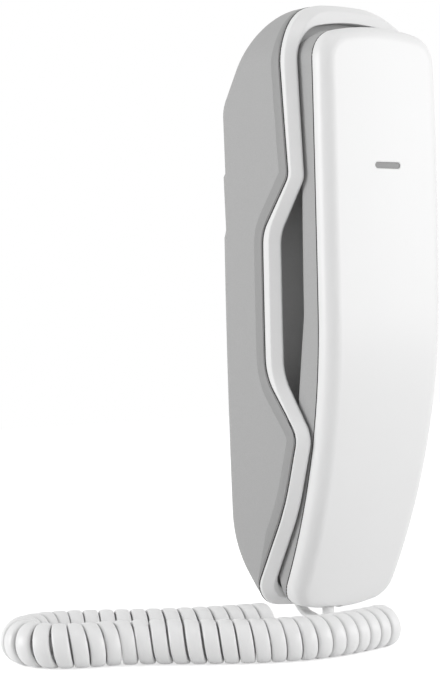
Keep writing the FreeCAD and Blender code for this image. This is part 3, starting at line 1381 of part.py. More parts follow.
lead_height = coil_start.z
jack_mid = s.jackFloor + s.jackHeight / 2
handset_exit = at(s.handsetJackX, s.handsetPlugDepth - 0.5, s.handsetPlugFoot)
lead("handset_lead", [
    handset_exit,
    handset_exit + Vector(0, 0, -2.5),
    at(s.handsetJackX - 0.3, s.handsetPlugDepth + 1.4, lead_height),
    at(-6.0, 33.6, lead_height),
    at(-9.6, 41.4, lead_height),
    at(-15.0, 49.0, lead_height),
    coil_start - coil_start_way * 9.0,
    coil_start,
], s.leadDiameter)
base_exit = at(s.cordJackX, jack_mid, s.basePlugFoot)
lead("base_lead", [
    base_exit,
    base_exit + Vector(0, 0, -8.5),
    at(-10.6, 11.3, -105.6),
    at(-17.2, 15.3, -109.3),
    at(-25.4, 20.0, lead_height),
    coil_end + coil_end_way * 12.0,
    coil_end,
], s.leadDiameter)

doc.recompute()
for item in doc.Objects:
    if "Invalid" in item.State or "Error" in item.State:
        raise RuntimeError("%s failed: %s" % (item.Label, item.State))
os.makedirs("parts", exist_ok=True)
for node in nodes:
    shape = node.Shape
    if shape.isNull() or not shape.isValid() or not shape.Solids:
        raise RuntimeError("%s has no valid shape" % node.Label)
for node in nodes:
    node.Shape.exportStep("parts/%s.step" % node.Label)
print("%d nodes written" % len(nodes))
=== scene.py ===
import json
import math
import bmesh
import bpy
from mathutils import Matrix, Vector


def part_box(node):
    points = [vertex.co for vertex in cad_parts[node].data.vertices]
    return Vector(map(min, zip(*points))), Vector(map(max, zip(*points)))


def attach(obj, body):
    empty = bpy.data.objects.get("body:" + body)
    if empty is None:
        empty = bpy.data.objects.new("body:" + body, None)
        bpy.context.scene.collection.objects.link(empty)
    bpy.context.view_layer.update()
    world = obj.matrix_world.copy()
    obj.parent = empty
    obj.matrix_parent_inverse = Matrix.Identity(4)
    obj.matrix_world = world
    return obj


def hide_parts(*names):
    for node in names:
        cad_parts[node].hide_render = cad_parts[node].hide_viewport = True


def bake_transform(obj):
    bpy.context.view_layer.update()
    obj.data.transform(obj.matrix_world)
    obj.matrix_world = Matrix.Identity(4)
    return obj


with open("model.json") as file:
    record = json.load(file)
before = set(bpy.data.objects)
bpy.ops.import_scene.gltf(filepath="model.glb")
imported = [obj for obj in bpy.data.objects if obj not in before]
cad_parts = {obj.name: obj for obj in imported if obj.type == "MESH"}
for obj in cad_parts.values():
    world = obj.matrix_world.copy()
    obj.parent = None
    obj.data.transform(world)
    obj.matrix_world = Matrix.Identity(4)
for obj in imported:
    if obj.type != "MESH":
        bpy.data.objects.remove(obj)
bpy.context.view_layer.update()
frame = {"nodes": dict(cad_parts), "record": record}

print("frame loaded:", len(frame["nodes"]), "nodes")

cameraSettings = {
    "place": (-0.4453, -0.5719, 0.0087),
    "turn": -35.92,        # degrees from looking straight at the wall
    "tilt": -1.49,
    "roll": -0.7,
    "lens": 105.97,
}

studioSettings = {
    "floorHeight": -0.1125,
    "floorSize": 1.8,
    "floorColour": (0.84, 0.84, 0.84, 1),
    "floorLift": 0.62,     # white that only the camera, mirrors and glass see on the floor
    "fillStrength": 0.47,
    "keyPlace": (1.05, -1.55, 0.05),
    "keyPower": 27.0,
    "keySize": 1.9,
    "sidePlace": (-1.6, 0.75, 0.35),
    "sidePower": 15.5,
    "sideSize": 1.1,
    "topPlace": (-0.2, -0.5, 1.6),
    "topPower": 3.0,
    "topSize": 1.0,
}


def makeCamera(settings):
    data = bpy.data.cameras.new("camera")
    data.sensor_width = 36.0
    data.lens = settings["lens"]
    data.clip_start = 0.01
    data.clip_end = 30.0
    camera = bpy.data.objects.new("camera", data)
    turn = Matrix.Rotation(math.radians(settings["turn"]), 4, "Z")
    tilt = Matrix.Rotation(math.radians(90 + settings["tilt"]), 4, "X")
    roll = Matrix.Rotation(math.radians(settings["roll"]), 4, "Z")
    camera.matrix_world = Matrix.Translation(settings["place"]) @ turn @ tilt @ roll
    bpy.context.collection.objects.link(camera)
    bpy.context.scene.camera = camera
    return camera


def areaLamp(name, place, power, size):
    data = bpy.data.lights.new(name, "AREA")
    data.energy = power
    data.shape = "DISK"
    data.size = size
    lamp = bpy.data.objects.new(name, data)
    lamp.location = place
    lamp.rotation_mode = "QUATERNION"
    lamp.rotation_quaternion = (-Vector(place)).to_track_quat("-Z", "Y")
    bpy.context.collection.objects.link(lamp)
    return lamp


def seenDirectly(nodes, links):
    # 1 for the camera's own rays and for those that mirrors and glass send on, 0 for light on the object
    ray = nodes.new("ShaderNodeLightPath")
    total = ray.outputs["Is Camera Ray"]
    for other in ("Is Glossy Ray", "Is Transmission Ray"):
        either = nodes.new("ShaderNodeMath")
        either.operation = "MAXIMUM"
        links.new(total, either.inputs[0])
        links.new(ray.outputs[other], either.inputs[1])
        total = either.outputs[0]
    return total


def makeStudio(settings):
    bm = bmesh.new()
    bmesh.ops.create_grid(bm, x_segments=8, y_segments=8, size=settings["floorSize"] / 2)
    bmesh.ops.translate(bm, verts=bm.verts, vec=(0, 0, settings["floorHeight"]))
    mesh = bpy.data.meshes.new("floor")
    bm.to_mesh(mesh)
    bm.free()
    floor = bpy.data.objects.new("floor", mesh)
    bpy.context.collection.objects.link(floor)
    material = bpy.data.materials.new("paleFloor")
    material.use_nodes = True
    nodes, links = material.node_tree.nodes, material.node_tree.links
    nodes.clear()
    out = nodes.new("ShaderNodeOutputMaterial")
    matt = nodes.new("ShaderNodeBsdfDiffuse")
    matt.inputs["Color"].default_value = settings["floorColour"]
    glow = nodes.new("ShaderNodeEmission")
    amount = nodes.new("ShaderNodeMath")
    amount.operation = "MULTIPLY"
    amount.inputs[1].default_value = settings["floorLift"]
    links.new(seenDirectly(nodes, links), amount.inputs[0])
    links.new(amount.outputs[0], glow.inputs["Strength"])
    both = nodes.new("ShaderNodeAddShader")
    links.new(matt.outputs[0], both.inputs[0])
    links.new(glow.outputs[0], both.inputs[1])
    links.new(both.outputs[0], out.inputs["Surface"])
    floor.data.materials.append(material)

    world = bpy.data.worlds.new("studio")
    bpy.context.scene.world = world
    world.use_nodes = True
    nodes, links = world.node_tree.nodes, world.node_tree.links
    nodes.clear()
    out = nodes.new("ShaderNodeOutputWorld")
    seenWhite = nodes.new("ShaderNodeBackground")
    seenWhite.inputs["Color"].default_value = (1, 1, 1, 1)
    fill = nodes.new("ShaderNodeBackground")
    fill.inputs["Color"].default_value = (1, 1, 1, 1)
    fill.inputs["Strength"].default_value = settings["fillStrength"]
    mix = nodes.new("ShaderNodeMixShader")
    links.new(seenDirectly(nodes, links), mix.inputs["Fac"])
    links.new(fill.outputs[0], mix.inputs[1])
    links.new(seenWhite.outputs[0], mix.inputs[2])
    links.new(mix.outputs[0], out.inputs["Surface"])

    areaLamp("keyLamp", settings["keyPlace"], settings["keyPower"], settings["keySize"])
    areaLamp("sideLamp", settings["sidePlace"], settings["sidePower"], settings["sideSize"])
    areaLamp("topLamp", settings["topPlace"], settings["topPower"], settings["topSize"])
    bpy.context.scene.view_settings.view_transform = "Standard"


makeCamera(cameraSettings)
makeStudio(studioSettings)
print("camera and studio ready")


# Node groups that several finishes share

def newGroup(name, inputs, outputs):
    group = bpy.data.node_groups.new(name, "ShaderNodeTree")
    for label, kind, value in inputs:
        socket = group.interface.new_socket(label, in_out="INPUT", socket_type=kind)
        if value is not None:
            socket.default_value = value
    for label, kind in outputs:
        group.interface.new_socket(label, in_out="OUTPUT", socket_type=kind)
    return group, group.nodes.new("NodeGroupInput"), group.nodes.new("NodeGroupOutput")


def makeMouldGrain():
    # fine moulded texture on edges that look slightly rounded
    group, given, put = newGroup("mouldGrain", [
        ("Grain Scale", "NodeSocketFloat", 2600.0),
        ("Grain Depth", "NodeSocketFloat", 0.1),
        ("Wave Scale", "NodeSocketFloat", 60.0),
        ("Wave Depth", "NodeSocketFloat", 0.02),
        ("Edge Radius", "NodeSocketFloat", 0.0004),
    ], [("Normal", "NodeSocketVector")])
    nodes, links = group.nodes, group.links
    place = nodes.new("ShaderNodeTexCoord")
    grain = nodes.new("ShaderNodeTexNoise")
    grain.inputs["Detail"].default_value = 3.0
    wave = nodes.new("ShaderNodeTexNoise")
    wave.inputs["Detail"].default_value = 2.0
    for noise, scale in ((grain, "Grain Scale"), (wave, "Wave Scale")):
        links.new(place.outputs["Object"], noise.inputs["Vector"])
        links.new(given.outputs[scale], noise.inputs["Scale"])
    rounded = nodes.new("ShaderNodeBevel")
    rounded.samples = 6
    links.new(given.outputs["Edge Radius"], rounded.inputs["Radius"])
    low = nodes.new("ShaderNodeBump")
    low.inputs["Distance"].default_value = 0.002
    links.new(given.outputs["Wave Depth"], low.inputs["Strength"])
    links.new(wave.outputs["Fac"], low.inputs["Height"])
    links.new(rounded.outputs["Normal"], low.inputs["Normal"])
    high = nodes.new("ShaderNodeBump")
    high.inputs["Distance"].default_value = 0.0002
    links.new(given.outputs["Grain Depth"], high.inputs["Strength"])
    links.new(grain.outputs["Fac"], high.inputs["Height"])
    links.new(low.outputs["Normal"], high.inputs["Normal"])
    links.new(high.outputs["Normal"], put.inputs["Normal"])
    return group


def makeWearAndPaintedLight():
    # dust and painted shade where the surface is boxed in, and a light rub with a painted highlight where it has
    # an edge
    group, given, put = newGroup("wearAndPaintedLight", [
        ("Colour", "NodeSocketColor", (0.8, 0.8, 0.8, 1)),
        ("Dust And Shade Colour", "NodeSocketColor", (0.2, 0.2, 0.2, 1)),
        ("Rub And Highlight Colour", "NodeSocketColor", (0.9, 0.9, 0.9, 1)),
        ("Dust And Shade Reach", "NodeSocketFloat", 0.004),
        ("Dust And Shade", "NodeSocketFloat", 0.3),
        ("Rub And Highlight", "NodeSocketFloat", 0.2),
        ("Speck", "NodeSocketFloat", 0.05),
        ("Roughness", "NodeSocketFloat", 0.4),
    ], [("Colour", "NodeSocketColor"), ("Roughness", "NodeSocketFloat")])
    nodes, links = group.nodes, group.links
    place = nodes.new("ShaderNodeTexCoord")
    # the occlusion mask darkens hollows, creases and gaps between parts: painted shade as well as dust
    boxed = nodes.new("ShaderNodeAmbientOcclusion")
    boxed.samples = 4
    boxed.only_local = True
    links.new(given.outputs["Dust And Shade Reach"], boxed.inputs["Distance"])
    hidden = nodes.new("ShaderNodeMath")
    hidden.operation = "SUBTRACT"
    hidden.inputs[0].default_value = 1.0
    links.new(boxed.outputs["AO"], hidden.inputs[1])
    patch = nodes.new("ShaderNodeTexNoise")
    patch.inputs["Scale"].default_value = 220.0
    patch.inputs["Detail"].default_value = 4.0
    links.new(place.outputs["Object"], patch.inputs["Vector"])
    broken = nodes.new("ShaderNodeMapRange")
    broken.inputs["From Min"].default_value = 0.3
    broken.inputs["From Max"].default_value = 0.7
    broken.inputs["To Min"].default_value = 0.5
    links.new(patch.outputs["Fac"], broken.inputs["Value"])
    dustAndShade = nodes.new("ShaderNodeMath")
    dustAndShade.operation = "MULTIPLY"
    links.new(hidden.outputs[0], dustAndShade.inputs[0])
    links.new(broken.outputs[0], dustAndShade.inputs[1])
    dustAndShadeShare = nodes.new("ShaderNodeMath")
    dustAndShadeShare.operation = "MULTIPLY"
    dustAndShadeShare.use_clamp = True
    links.new(dustAndShade.outputs[0], dustAndShadeShare.inputs[0])
    links.new(given.outputs["Dust And Shade"], dustAndShadeShare.inputs[1])

    # the edge mask lightens edges: a painted highlight as well as rub wear
    turned = nodes.new("ShaderNodeBevel")
    turned.samples = 4
    turned.inputs["Radius"].default_value = 0.0006
    shape = nodes.new("ShaderNodeNewGeometry")
    match = nodes.new("ShaderNodeVectorMath")
    match.operation = "DOT_PRODUCT"
    links.new(turned.outputs["Normal"], match.inputs[0])
    links.new(shape.outputs["Normal"], match.inputs[1])
    edge = nodes.new("ShaderNodeMapRange")
    edge.inputs["From Min"].default_value = 0.995
    edge.inputs["From Max"].default_value = 0.9
    links.new(match.outputs["Value"], edge.inputs["Value"])
    rubAndHighlight = nodes.new("ShaderNodeMath")
    rubAndHighlight.operation = "MULTIPLY"
    links.new(edge.outputs[0], rubAndHighlight.inputs[0])
    links.new(broken.outputs[0], rubAndHighlight.inputs[1])
    rubAndHighlightShare = nodes.new("ShaderNodeMath")
    rubAndHighlightShare.operation = "MULTIPLY"
    rubAndHighlightShare.use_clamp = True
    links.new(rubAndHighlight.outputs[0], rubAndHighlightShare.inputs[0])
    links.new(given.outputs["Rub And Highlight"], rubAndHighlightShare.inputs[1])

    fine = nodes.new("ShaderNodeTexNoise")
    fine.inputs["Scale"].default_value = 1900.0
    fine.inputs["Detail"].default_value = 2.0
    links.new(place.outputs["Object"], fine.inputs["Vector"])
    speck = nodes.new("ShaderNodeMath")
    speck.operation = "SUBTRACT"
    speck.inputs[1].default_value = 0.5
    links.new(fine.outputs["Fac"], speck.inputs[0])
    speckShare = nodes.new("ShaderNodeMath")
    speckShare.operation = "MULTIPLY_ADD"
    speckShare.inputs[2].default_value = 1.0
    links.new(speck.outputs[0], speckShare.inputs[0])
    links.new(given.outputs["Speck"], speckShare.inputs[1])
    speckled = nodes.new("ShaderNodeVectorMath")
    speckled.operation = "SCALE"
    links.new(given.outputs["Colour"], speckled.inputs[0])
    links.new(speckShare.outputs[0], speckled.inputs["Scale"])
    rubbedAndHighlighted = nodes.new("ShaderNodeMix")
    rubbedAndHighlighted.data_type = "RGBA"
    links.new(rubAndHighlightShare.outputs[0], rubbedAndHighlighted.inputs["Factor"])
    links.new(speckled.outputs[0], rubbedAndHighlighted.inputs["A"])
    links.new(given.outputs["Rub And Highlight Colour"], rubbedAndHighlighted.inputs["B"])
    dustedAndShaded = nodes.new("ShaderNodeMix")
    dustedAndShaded.data_type = "RGBA"
    links.new(dustAndShadeShare.outputs[0], dustedAndShaded.inputs["Factor"])
    links.new(rubbedAndHighlighted.outputs["Result"], dustedAndShaded.inputs["A"])
    links.new(given.outputs["Dust And Shade Colour"], dustedAndShaded.inputs["B"])
    links.new(dustedAndShaded.outputs["Result"], put.inputs["Colour"])
    rougher = nodes.new("ShaderNodeMath")
    rougher.operation = "MULTIPLY_ADD"
    rougher.inputs[1].default_value = 0.3
    rougher.use_clamp = True
    links.new(dustAndShadeShare.outputs[0], rougher.inputs[0])
    links.new(given.outputs["Roughness"], rougher.inputs[2])
    drifted = nodes.new("ShaderNodeMath")
    drifted.operation = "MULTIPLY_ADD"
    drifted.inputs[1].default_value = 0.1
    drifted.use_clamp = True
    links.new(speck.outputs[0], drifted.inputs[0])
    links.new(rougher.outputs[0], drifted.inputs[2])
    links.new(drifted.outputs[0], put.inputs["Roughness"])
    return group


mouldGrain = makeMouldGrain()
wearAndPaintedLight = makeWearAndPaintedLight()


def srgb(level, tint=(1, 1, 1)):
    # a display level of 0 to 255 as the linear colour that Blender takes
    share = level / 255
    linear = share / 12.92 if share <= 0.04045 else ((share + 0.055) / 1.055) ** 2.4
    return (linear * tint[0], linear * tint[1], linear * tint[2], 1)


# each finish: base colour, roughness, moulded grain (scale, depth), then what dust with painted shade in hollows,
# and rub with a painted highlight on edges, add
finishSettings = {
    "shell_grey": {"colour": srgb(171), "rough": 0.5, "grain": (2600, 0.35), "wave": 0.05, "edge": 0.0007,
                   "speck": 0.16, "dustAndShade": 0.15, "dustAndShadeColour": srgb(110), "rubAndHighlight": 0.25, "rubAndHighlightColour": srgb(200)},
    # the white's dust and shade darkens the bezel beside the handset: painted shade
    "white_plastic": {"colour": srgb(240), "rough": 0.36, "grain": (2200, 0.03), "wave": 0.04, "edge": 0.0009,
                      "speck": 0.01, "dustAndShade": 0.18, "dustAndShadeColour": srgb(170), "rubAndHighlight": 0.1, "rubAndHighlightColour": srgb(246),
                      "coat": 0.05},
    "cradle_grey": {"colour": srgb(205), "rough": 0.5, "grain": (2400, 0.3), "wave": 0.04, "edge": 0.0005,
                    "speck": 0.1, "dustAndShade": 0.3, "dustAndShadeColour": srgb(110), "rubAndHighlight": 0.2, "rubAndHighlightColour": srgb(200)},
    "soft_black": {"colour": srgb(42), "rough": 0.8, "grain": (3000, 0.5), "wave": 0.05, "edge": 0.0003,
                   "speck": 0.2, "dustAndShade": 0.3, "dustAndShadeColour": srgb(90), "rubAndHighlight": 0.3, "rubAndHighlightColour": srgb(70)},
    "key_grey": {"colour": srgb(205), "rough": 0.4, "grain": (2600, 0.15), "wave": 0.02, "edge": 0.0003,
                 "speck": 0.03, "dustAndShade": 0.3, "dustAndShadeColour": srgb(120), "rubAndHighlight": 0.2, "rubAndHighlightColour": srgb(222)},
    "mat_grey": {"colour": srgb(120), "rough": 0.75, "grain": (3000, 0.4), "wave": 0.04, "edge": 0.0003,
                 "speck": 0.1, "dustAndShade": 0.3, "dustAndShadeColour": srgb(80), "rubAndHighlight": 0.1, "rubAndHighlightColour": srgb(140)},
    "screw_steel": {"colour": srgb(190), "rough": 0.3, "metal": 1.0, "grain": (900, 0.1), "wave": 0.02,
                    "edge": 0.0002, "speck": 0.08, "dustAndShade": 0.6, "dustAndShadeColour": srgb(70), "rubAndHighlight": 0.4,
                    "rubAndHighlightColour": srgb(225)},
    "board_green": {"colour": srgb(70, (0.35, 1.0, 0.5)), "rough": 0.35, "grain": (1600, 0.1), "wave": 0.02,
                    "edge": 0.0002, "speck": 0.15, "dustAndShade": 0.2, "dustAndShadeColour": srgb(120), "rubAndHighlight": 0.2,
                    "rubAndHighlightColour": srgb(150, (0.9, 1, 0.8)), "coat": 0.4},
    "component_black": {"colour": srgb(34), "rough": 0.45, "grain": (2200, 0.2), "wave": 0.02, "edge": 0.0003,
                        "speck": 0.2, "dustAndShade": 0.3, "dustAndShadeColour": srgb(90), "rubAndHighlight": 0.3, "rubAndHighlightColour": srgb(80)},
    "plunger_grey": {"colour": srgb(150), "rough": 0.38, "grain": (2400, 0.08), "wave": 0.02, "edge": 0.0004,
                     "speck": 0.04, "dustAndShade": 0.3, "dustAndShadeColour": srgb(80), "rubAndHighlight": 0.5, "rubAndHighlightColour": srgb(178)},
    "transformer_iron": {"colour": srgb(120), "rough": 0.42, "metal": 0.9, "grain": (1500, 0.25), "wave": 0.03,
                         "edge": 0.0003, "speck": 0.2, "dustAndShade": 0.4, "dustAndShadeColour": srgb(60), "rubAndHighlight": 0.3,
                         "rubAndHighlightColour": srgb(170)},
    "capacitor_can": {"colour": srgb(60, (0.6, 0.7, 1.2)), "rough": 0.3, "grain": (1800, 0.05), "wave": 0.02,
                      "edge": 0.0004, "speck": 0.05, "dustAndShade": 0.2, "dustAndShadeColour": srgb(90), "rubAndHighlight": 0.4,
                      "rubAndHighlightColour": srgb(180), "coat": 0.3},
    "ringer_brass": {"colour": srgb(205, (1.0, 0.78, 0.42)), "rough": 0.35, "metal": 1.0, "grain": (1200, 0.1),
                     "wave": 0.02, "edge": 0.0003, "speck": 0.1, "dustAndShade": 0.4, "dustAndShadeColour": srgb(90), "rubAndHighlight": 0.3,
                     "rubAndHighlightColour": srgb(235, (1.0, 0.85, 0.55))},
    "weight_iron": {"colour": srgb(105), "rough": 0.6, "metal": 0.8, "grain": (1300, 0.4), "wave": 0.05,
                    "edge": 0.0004, "speck": 0.3, "dustAndShade": 0.4, "dustAndShadeColour": srgb(70), "rubAndHighlight": 0.4,
                    "rubAndHighlightColour": srgb(150)},
    "jack_ivory": {"colour": srgb(214, (1, 0.98, 0.93)), "rough": 0.42, "grain": (2400, 0.06), "wave": 0.02,
                   "edge": 0.0003, "speck": 0.03, "dustAndShade": 0.4, "dustAndShadeColour": srgb(110), "rubAndHighlight": 0.1,
                   "rubAndHighlightColour": srgb(230)},
    "plug_clear": {"colour": srgb(236), "rough": 0.08, "clear": 0.9, "grain": (900, 0.03), "wave": 0.05,
                   "edge": 0.0003, "speck": 0.01, "dustAndShade": 0.1, "dustAndShadeColour": srgb(190), "rubAndHighlight": 0.2,
                   "rubAndHighlightColour": srgb(245)},
    "cord_white": {"colour": srgb(244), "rough": 0.34, "grain": (1500, 0.06), "wave": 0.06, "edge": 0.0004,
                   "speck": 0.02, "dustAndShade": 0.35, "dustAndShadeColour": srgb(150), "rubAndHighlight": 0.1, "rubAndHighlightColour": srgb(240)},
    # a darker copy of the shell's grey: painted shade along the raised band
    "shell_band_shaded": {"colour": srgb(154), "rough": 0.5, "grain": (2600, 0.3), "wave": 0.04, "edge": 0.00015,
                   "speck": 0.14, "dustAndShade": 0.1, "dustAndShadeColour": srgb(110), "rubAndHighlight": 0.15, "rubAndHighlightColour": srgb(190)},
    # the lens's strong dark dust is mostly painted shade round its recessed edge
    "lens_smoke": {"colour": srgb(124), "rough": 0.4, "grain": (1500, 0.02), "wave": 0.02, "edge": 0.0003,
                   "speck": 0.03, "dustAndShade": 0.9, "dustAndShadeColour": srgb(60), "rubAndHighlight": 0.2, "rubAndHighlightColour": srgb(190),
                   "coat": 0.3},
    "lamp_red": {"colour": srgb(190, (1.0, 0.08, 0.06)), "rough": 0.15, "grain": (1200, 0.02), "wave": 0.02,
                 "edge": 0.0003, "speck": 0.02, "dustAndShade": 0.1, "dustAndShadeColour": srgb(90), "rubAndHighlight": 0.1,
                 "rubAndHighlightColour": srgb(220, (1.0, 0.2, 0.2)), "clear": 0.4},
    "contact_gold": {"colour": srgb(225, (1.0, 0.8, 0.4)), "rough": 0.22, "metal": 1.0, "grain": (1500, 0.05),
                     "wave": 0.02, "edge": 0.0001, "speck": 0.05, "dustAndShade": 0.2, "dustAndShadeColour": srgb(110), "rubAndHighlight": 0.2,
                     "rubAndHighlightColour": srgb(240, (1.0, 0.88, 0.6))},
    "key_print": {"colour": srgb(48), "rough": 0.5, "grain": (2600, 0.1), "wave": 0.02, "edge": 0.0001,
                  "speck": 0.1, "dustAndShade": 0.1, "dustAndShadeColour": srgb(90), "rubAndHighlight": 0.2, "rubAndHighlightColour": srgb(70)},
}


def makeFinish(name, look):
    material = bpy.data.materials.new(name)
    material.use_nodes = True
    nodes, links = material.node_tree.nodes, material.node_tree.links
    shader = nodes["Principled BSDF"]
    shader.inputs["IOR"].default_value = 1.47
    shader.inputs["Metallic"].default_value = look.get("metal", 0.0)
    shader.inputs["Coat Weight"].default_value = look.get("coat", 0.0)
    shader.inputs["Coat Roughness"].default_value = 0.15
    shader.inputs["Transmission Weight"].default_value = look.get("clear", 0.0)
    grain = nodes.new("ShaderNodeGroup")
    grain.node_tree = mouldGrain
    grain.inputs["Grain Scale"].default_value = look["grain"][0]
    grain.inputs["Grain Depth"].default_value = look["grain"][1]
    grain.inputs["Wave Depth"].default_value = look["wave"]
    grain.inputs["Edge Radius"].default_value = look["edge"]
    # dust with painted shade in hollows, rub with a painted highlight on edges
    wearAndPaintedLightNode = nodes.new("ShaderNodeGroup")
    wearAndPaintedLightNode.node_tree = wearAndPaintedLight
    wearAndPaintedLightNode.inputs["Colour"].default_value = look["colour"]
    wearAndPaintedLightNode.inputs["Dust And Shade Colour"].default_value = look["dustAndShadeColour"]
    wearAndPaintedLightNode.inputs["Rub And Highlight Colour"].default_value = look["rubAndHighlightColour"]
    wearAndPaintedLightNode.inputs["Dust And Shade"].default_value = look["dustAndShade"]
    wearAndPaintedLightNode.inputs["Rub And Highlight"].default_value = look["rubAndHighlight"]
    wearAndPaintedLightNode.inputs["Speck"].default_value = look["speck"]
    wearAndPaintedLightNode.inputs["Roughness"].default_value = look["rough"]
    links.new(wearAndPaintedLightNode.outputs["Colour"], shader.inputs["Base Color"])
    links.new(wearAndPaintedLightNode.outputs["Roughness"], shader.inputs["Roughness"])
    links.new(grain.outputs["Normal"], shader.inputs["Normal"])
    return material


finishes = {name: makeFinish(name + "Finish", look) for name, look in finishSettings.items()}
for part in frame["record"]["subparts"]:
    piece = frame["nodes"][part["node"]]
    piece.data.materials.clear()
    piece.data.materials.append(finishes[part["material_slot"]])
print("finishes made:", len(finishes))


def dress(piece, body, finish):
    piece.data.materials.append(finishes[finish])
    if body:
        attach(piece, body)
    return piece


def fromBmesh(name, bm, smooth=False):
    bmesh.ops.recalc_face_normals(bm, faces=bm.faces)
    mesh = bpy.data.meshes.new(name)
    bm.to_mesh(mesh)
    bm.free()
    mesh.polygons.foreach_set("use_smooth", [smooth] * len(mesh.polygons))
    piece = bpy.data.objects.new(name, mesh)
    bpy.context.collection.objects.link(piece)
    return piece


def millimetres(x, depth, height):
    return Vector((x, -depth, height)) / 1000


cordSettings = {
    # (x, depth) of the coil's centre line on the floor, in mm, from the handset end to the base end
    "coilRoute": [
        (-16.2, 70.3), (-30.0, 73.6), (-48.0, 73.8), (-64.0, 67.7), (-79.0, 57.8), (-91.0, 47.8),
        (-101.0, 41.0), (-112.5, 38.0), (-122.5, 32.5), (-126.3, 22.5), (-122.0, 12.8), (-110.5, 10.2),
        (-99.0, 16.3), (-87.0, 24.6), (-74.0, 32.4), (-60.0, 38.2), (-44.1, 42.8),
    ],
    # (x, depth, height) of the leads' points, in mm
    "handsetLeadRoute": [
        (-4.3, 26.6, -104.4), (-4.3, 26.4, -109.0), (-4.6, 28.2, -111.2), (-6.0, 33.6, -111.3),
        (-9.6, 41.4, -111.3), (-15.0, 49.0, -111.3),
    ],
    "baseLeadRoute": [
        (-7.0, 8.75, -88.0), (-7.0, 8.75, -97.0), (-5.6, 9.3, -104.5), (-3.0, 11.6, -110.0),
        (-1.8, 16.0, -111.3), (-5.4, 20.8, -111.3), (-12.5, 23.2, -111.3), (-19.5, 22.6, -111.3),
        (-26.0, 20.5, -111.3),
    ],
    "coilOuter": 14.3,
    "stripWidth": 4.8,
    "stripThick": 2.3,
    "stripGap": 0.14,      # least gap between one turn and the next
    # (distance from the handset end, pitch), in mm
    "pitches": [
        (0, 5.4), (18, 4.8), (45, 4.7), (68, 5.3), (95, 5.7), (108, 4.7), (148, 4.7), (165, 5.2), (240, 5.1),
    ],
    "stepsPerTurn": 28,
    "leadWidth": 4.3,
    "leadThick": 2.2,
}


def splineLine(points, name, resolution=24):
    # points that Blender gives along a NURBS curve through this route
    curve = bpy.data.curves.new(name, "CURVE")
    curve.dimensions = "3D"
    curve.resolution_u = resolution
    spline = curve.splines.new("NURBS")
    spline.points.add(len(points) - 1)
    for point, place in zip(spline.points, points):
        point.co = (*place, 1)
    spline.order_u = 3
    spline.use_endpoint_u = True
    holder = bpy.data.objects.new(name, curve)
    mesh = bpy.data.meshes.new_from_object(holder)
    line = [v.co.copy() for v in mesh.vertices]
    bpy.data.meshes.remove(mesh)
    bpy.data.objects.remove(holder)
    bpy.data.curves.remove(curve)
    return line


def evenLine(line, step):
    # the same line with points a step apart, and how long the step came out
    lengths = [0.0]
    for a, b in zip(line, line[1:]):
        lengths.append(lengths[-1] + (b - a).length)
    count = max(2, round(lengths[-1] / step))
    out = []
    k = 0
    for i in range(count + 1):
        want = lengths[-1] * i / count
        while k < len(line) - 2 and lengths[k + 1] < want:
            k += 1
        share = (want - lengths[k]) / max(lengths[k + 1] - lengths[k], 1e-12)
        out.append(line[k].lerp(line[k + 1], min(1.0, share)))
    return out, lengths[-1] / count


def lineLength(line):
    return sum((b - a).length for a, b in zip(line, line[1:]))


def carriedWays(line, firstWay):
    # the strip's thin way, carried along a line without twisting
    ways = [firstWay]
    for i in range(1, len(line)):
        along = (line[min(i + 1, len(line) - 1)] - line[i - 1]).normalized()
        way = ways[-1] - along * ways[-1].dot(along)
        ways.append(way.normalized())
    return ways


def sweepStrip(name, line, thinWays, widths, thicks, segments=12, flat=0.55, edge=0.75, closed=False):
    # a strip with rounded edges, extruded ring by ring along a line; a closed one ends at its first point
    if closed:
        line = line[:-1]
    bm = bmesh.new()
    bmesh.ops.create_circle(bm, segments=segments, radius=0.5, cap_ends=False)
    for vert in bm.verts:
        angle = math.atan2(vert.co.y, vert.co.x)
        c, s = math.cos(angle), math.sin(angle)
        vert.co.x = math.copysign(abs(c) ** flat, c) / 2
        vert.co.y = math.copysign(abs(s) ** edge, s) / 2
    section = [(v.co.x, v.co.y) for v in bm.verts]
    ring = list(bm.verts)
    edges = list(bm.edges)
    firstEdges = list(edges)
    for i, place in enumerate(line):
        if i:
            made = bmesh.ops.extrude_edge_only(bm, edges=edges)["geom"]
            edges = [e for e in made if isinstance(e, bmesh.types.BMEdge)]
            fresh = {v for v in made if isinstance(v, bmesh.types.BMVert)}
            ring = [next(e.other_vert(v) for e in v.link_edges if e.other_vert(v) in fresh) for v in ring]
        ahead, behind = (line[(i + 1) % len(line)], line[i - 1]) if closed else (
            line[min(len(line) - 1, i + 1)], line[max(0, i - 1)])
        along = (ahead - behind).normalized()
        thin = (thinWays[i] - along * thinWays[i].dot(along)).normalized()
        wide = along.cross(thin)
        for vert, (a, b) in zip(ring, section):
            vert.co = place + wide * (a * widths[i]) + thin * (b * thicks[i])
    if closed:
        bmesh.ops.bridge_loops(bm, edges=firstEdges + edges)
    else:
        bmesh.ops.holes_fill(bm, edges=[e for e in bm.edges if e.is_boundary], sides=0)
    return fromBmesh(name, bm, smooth=True)


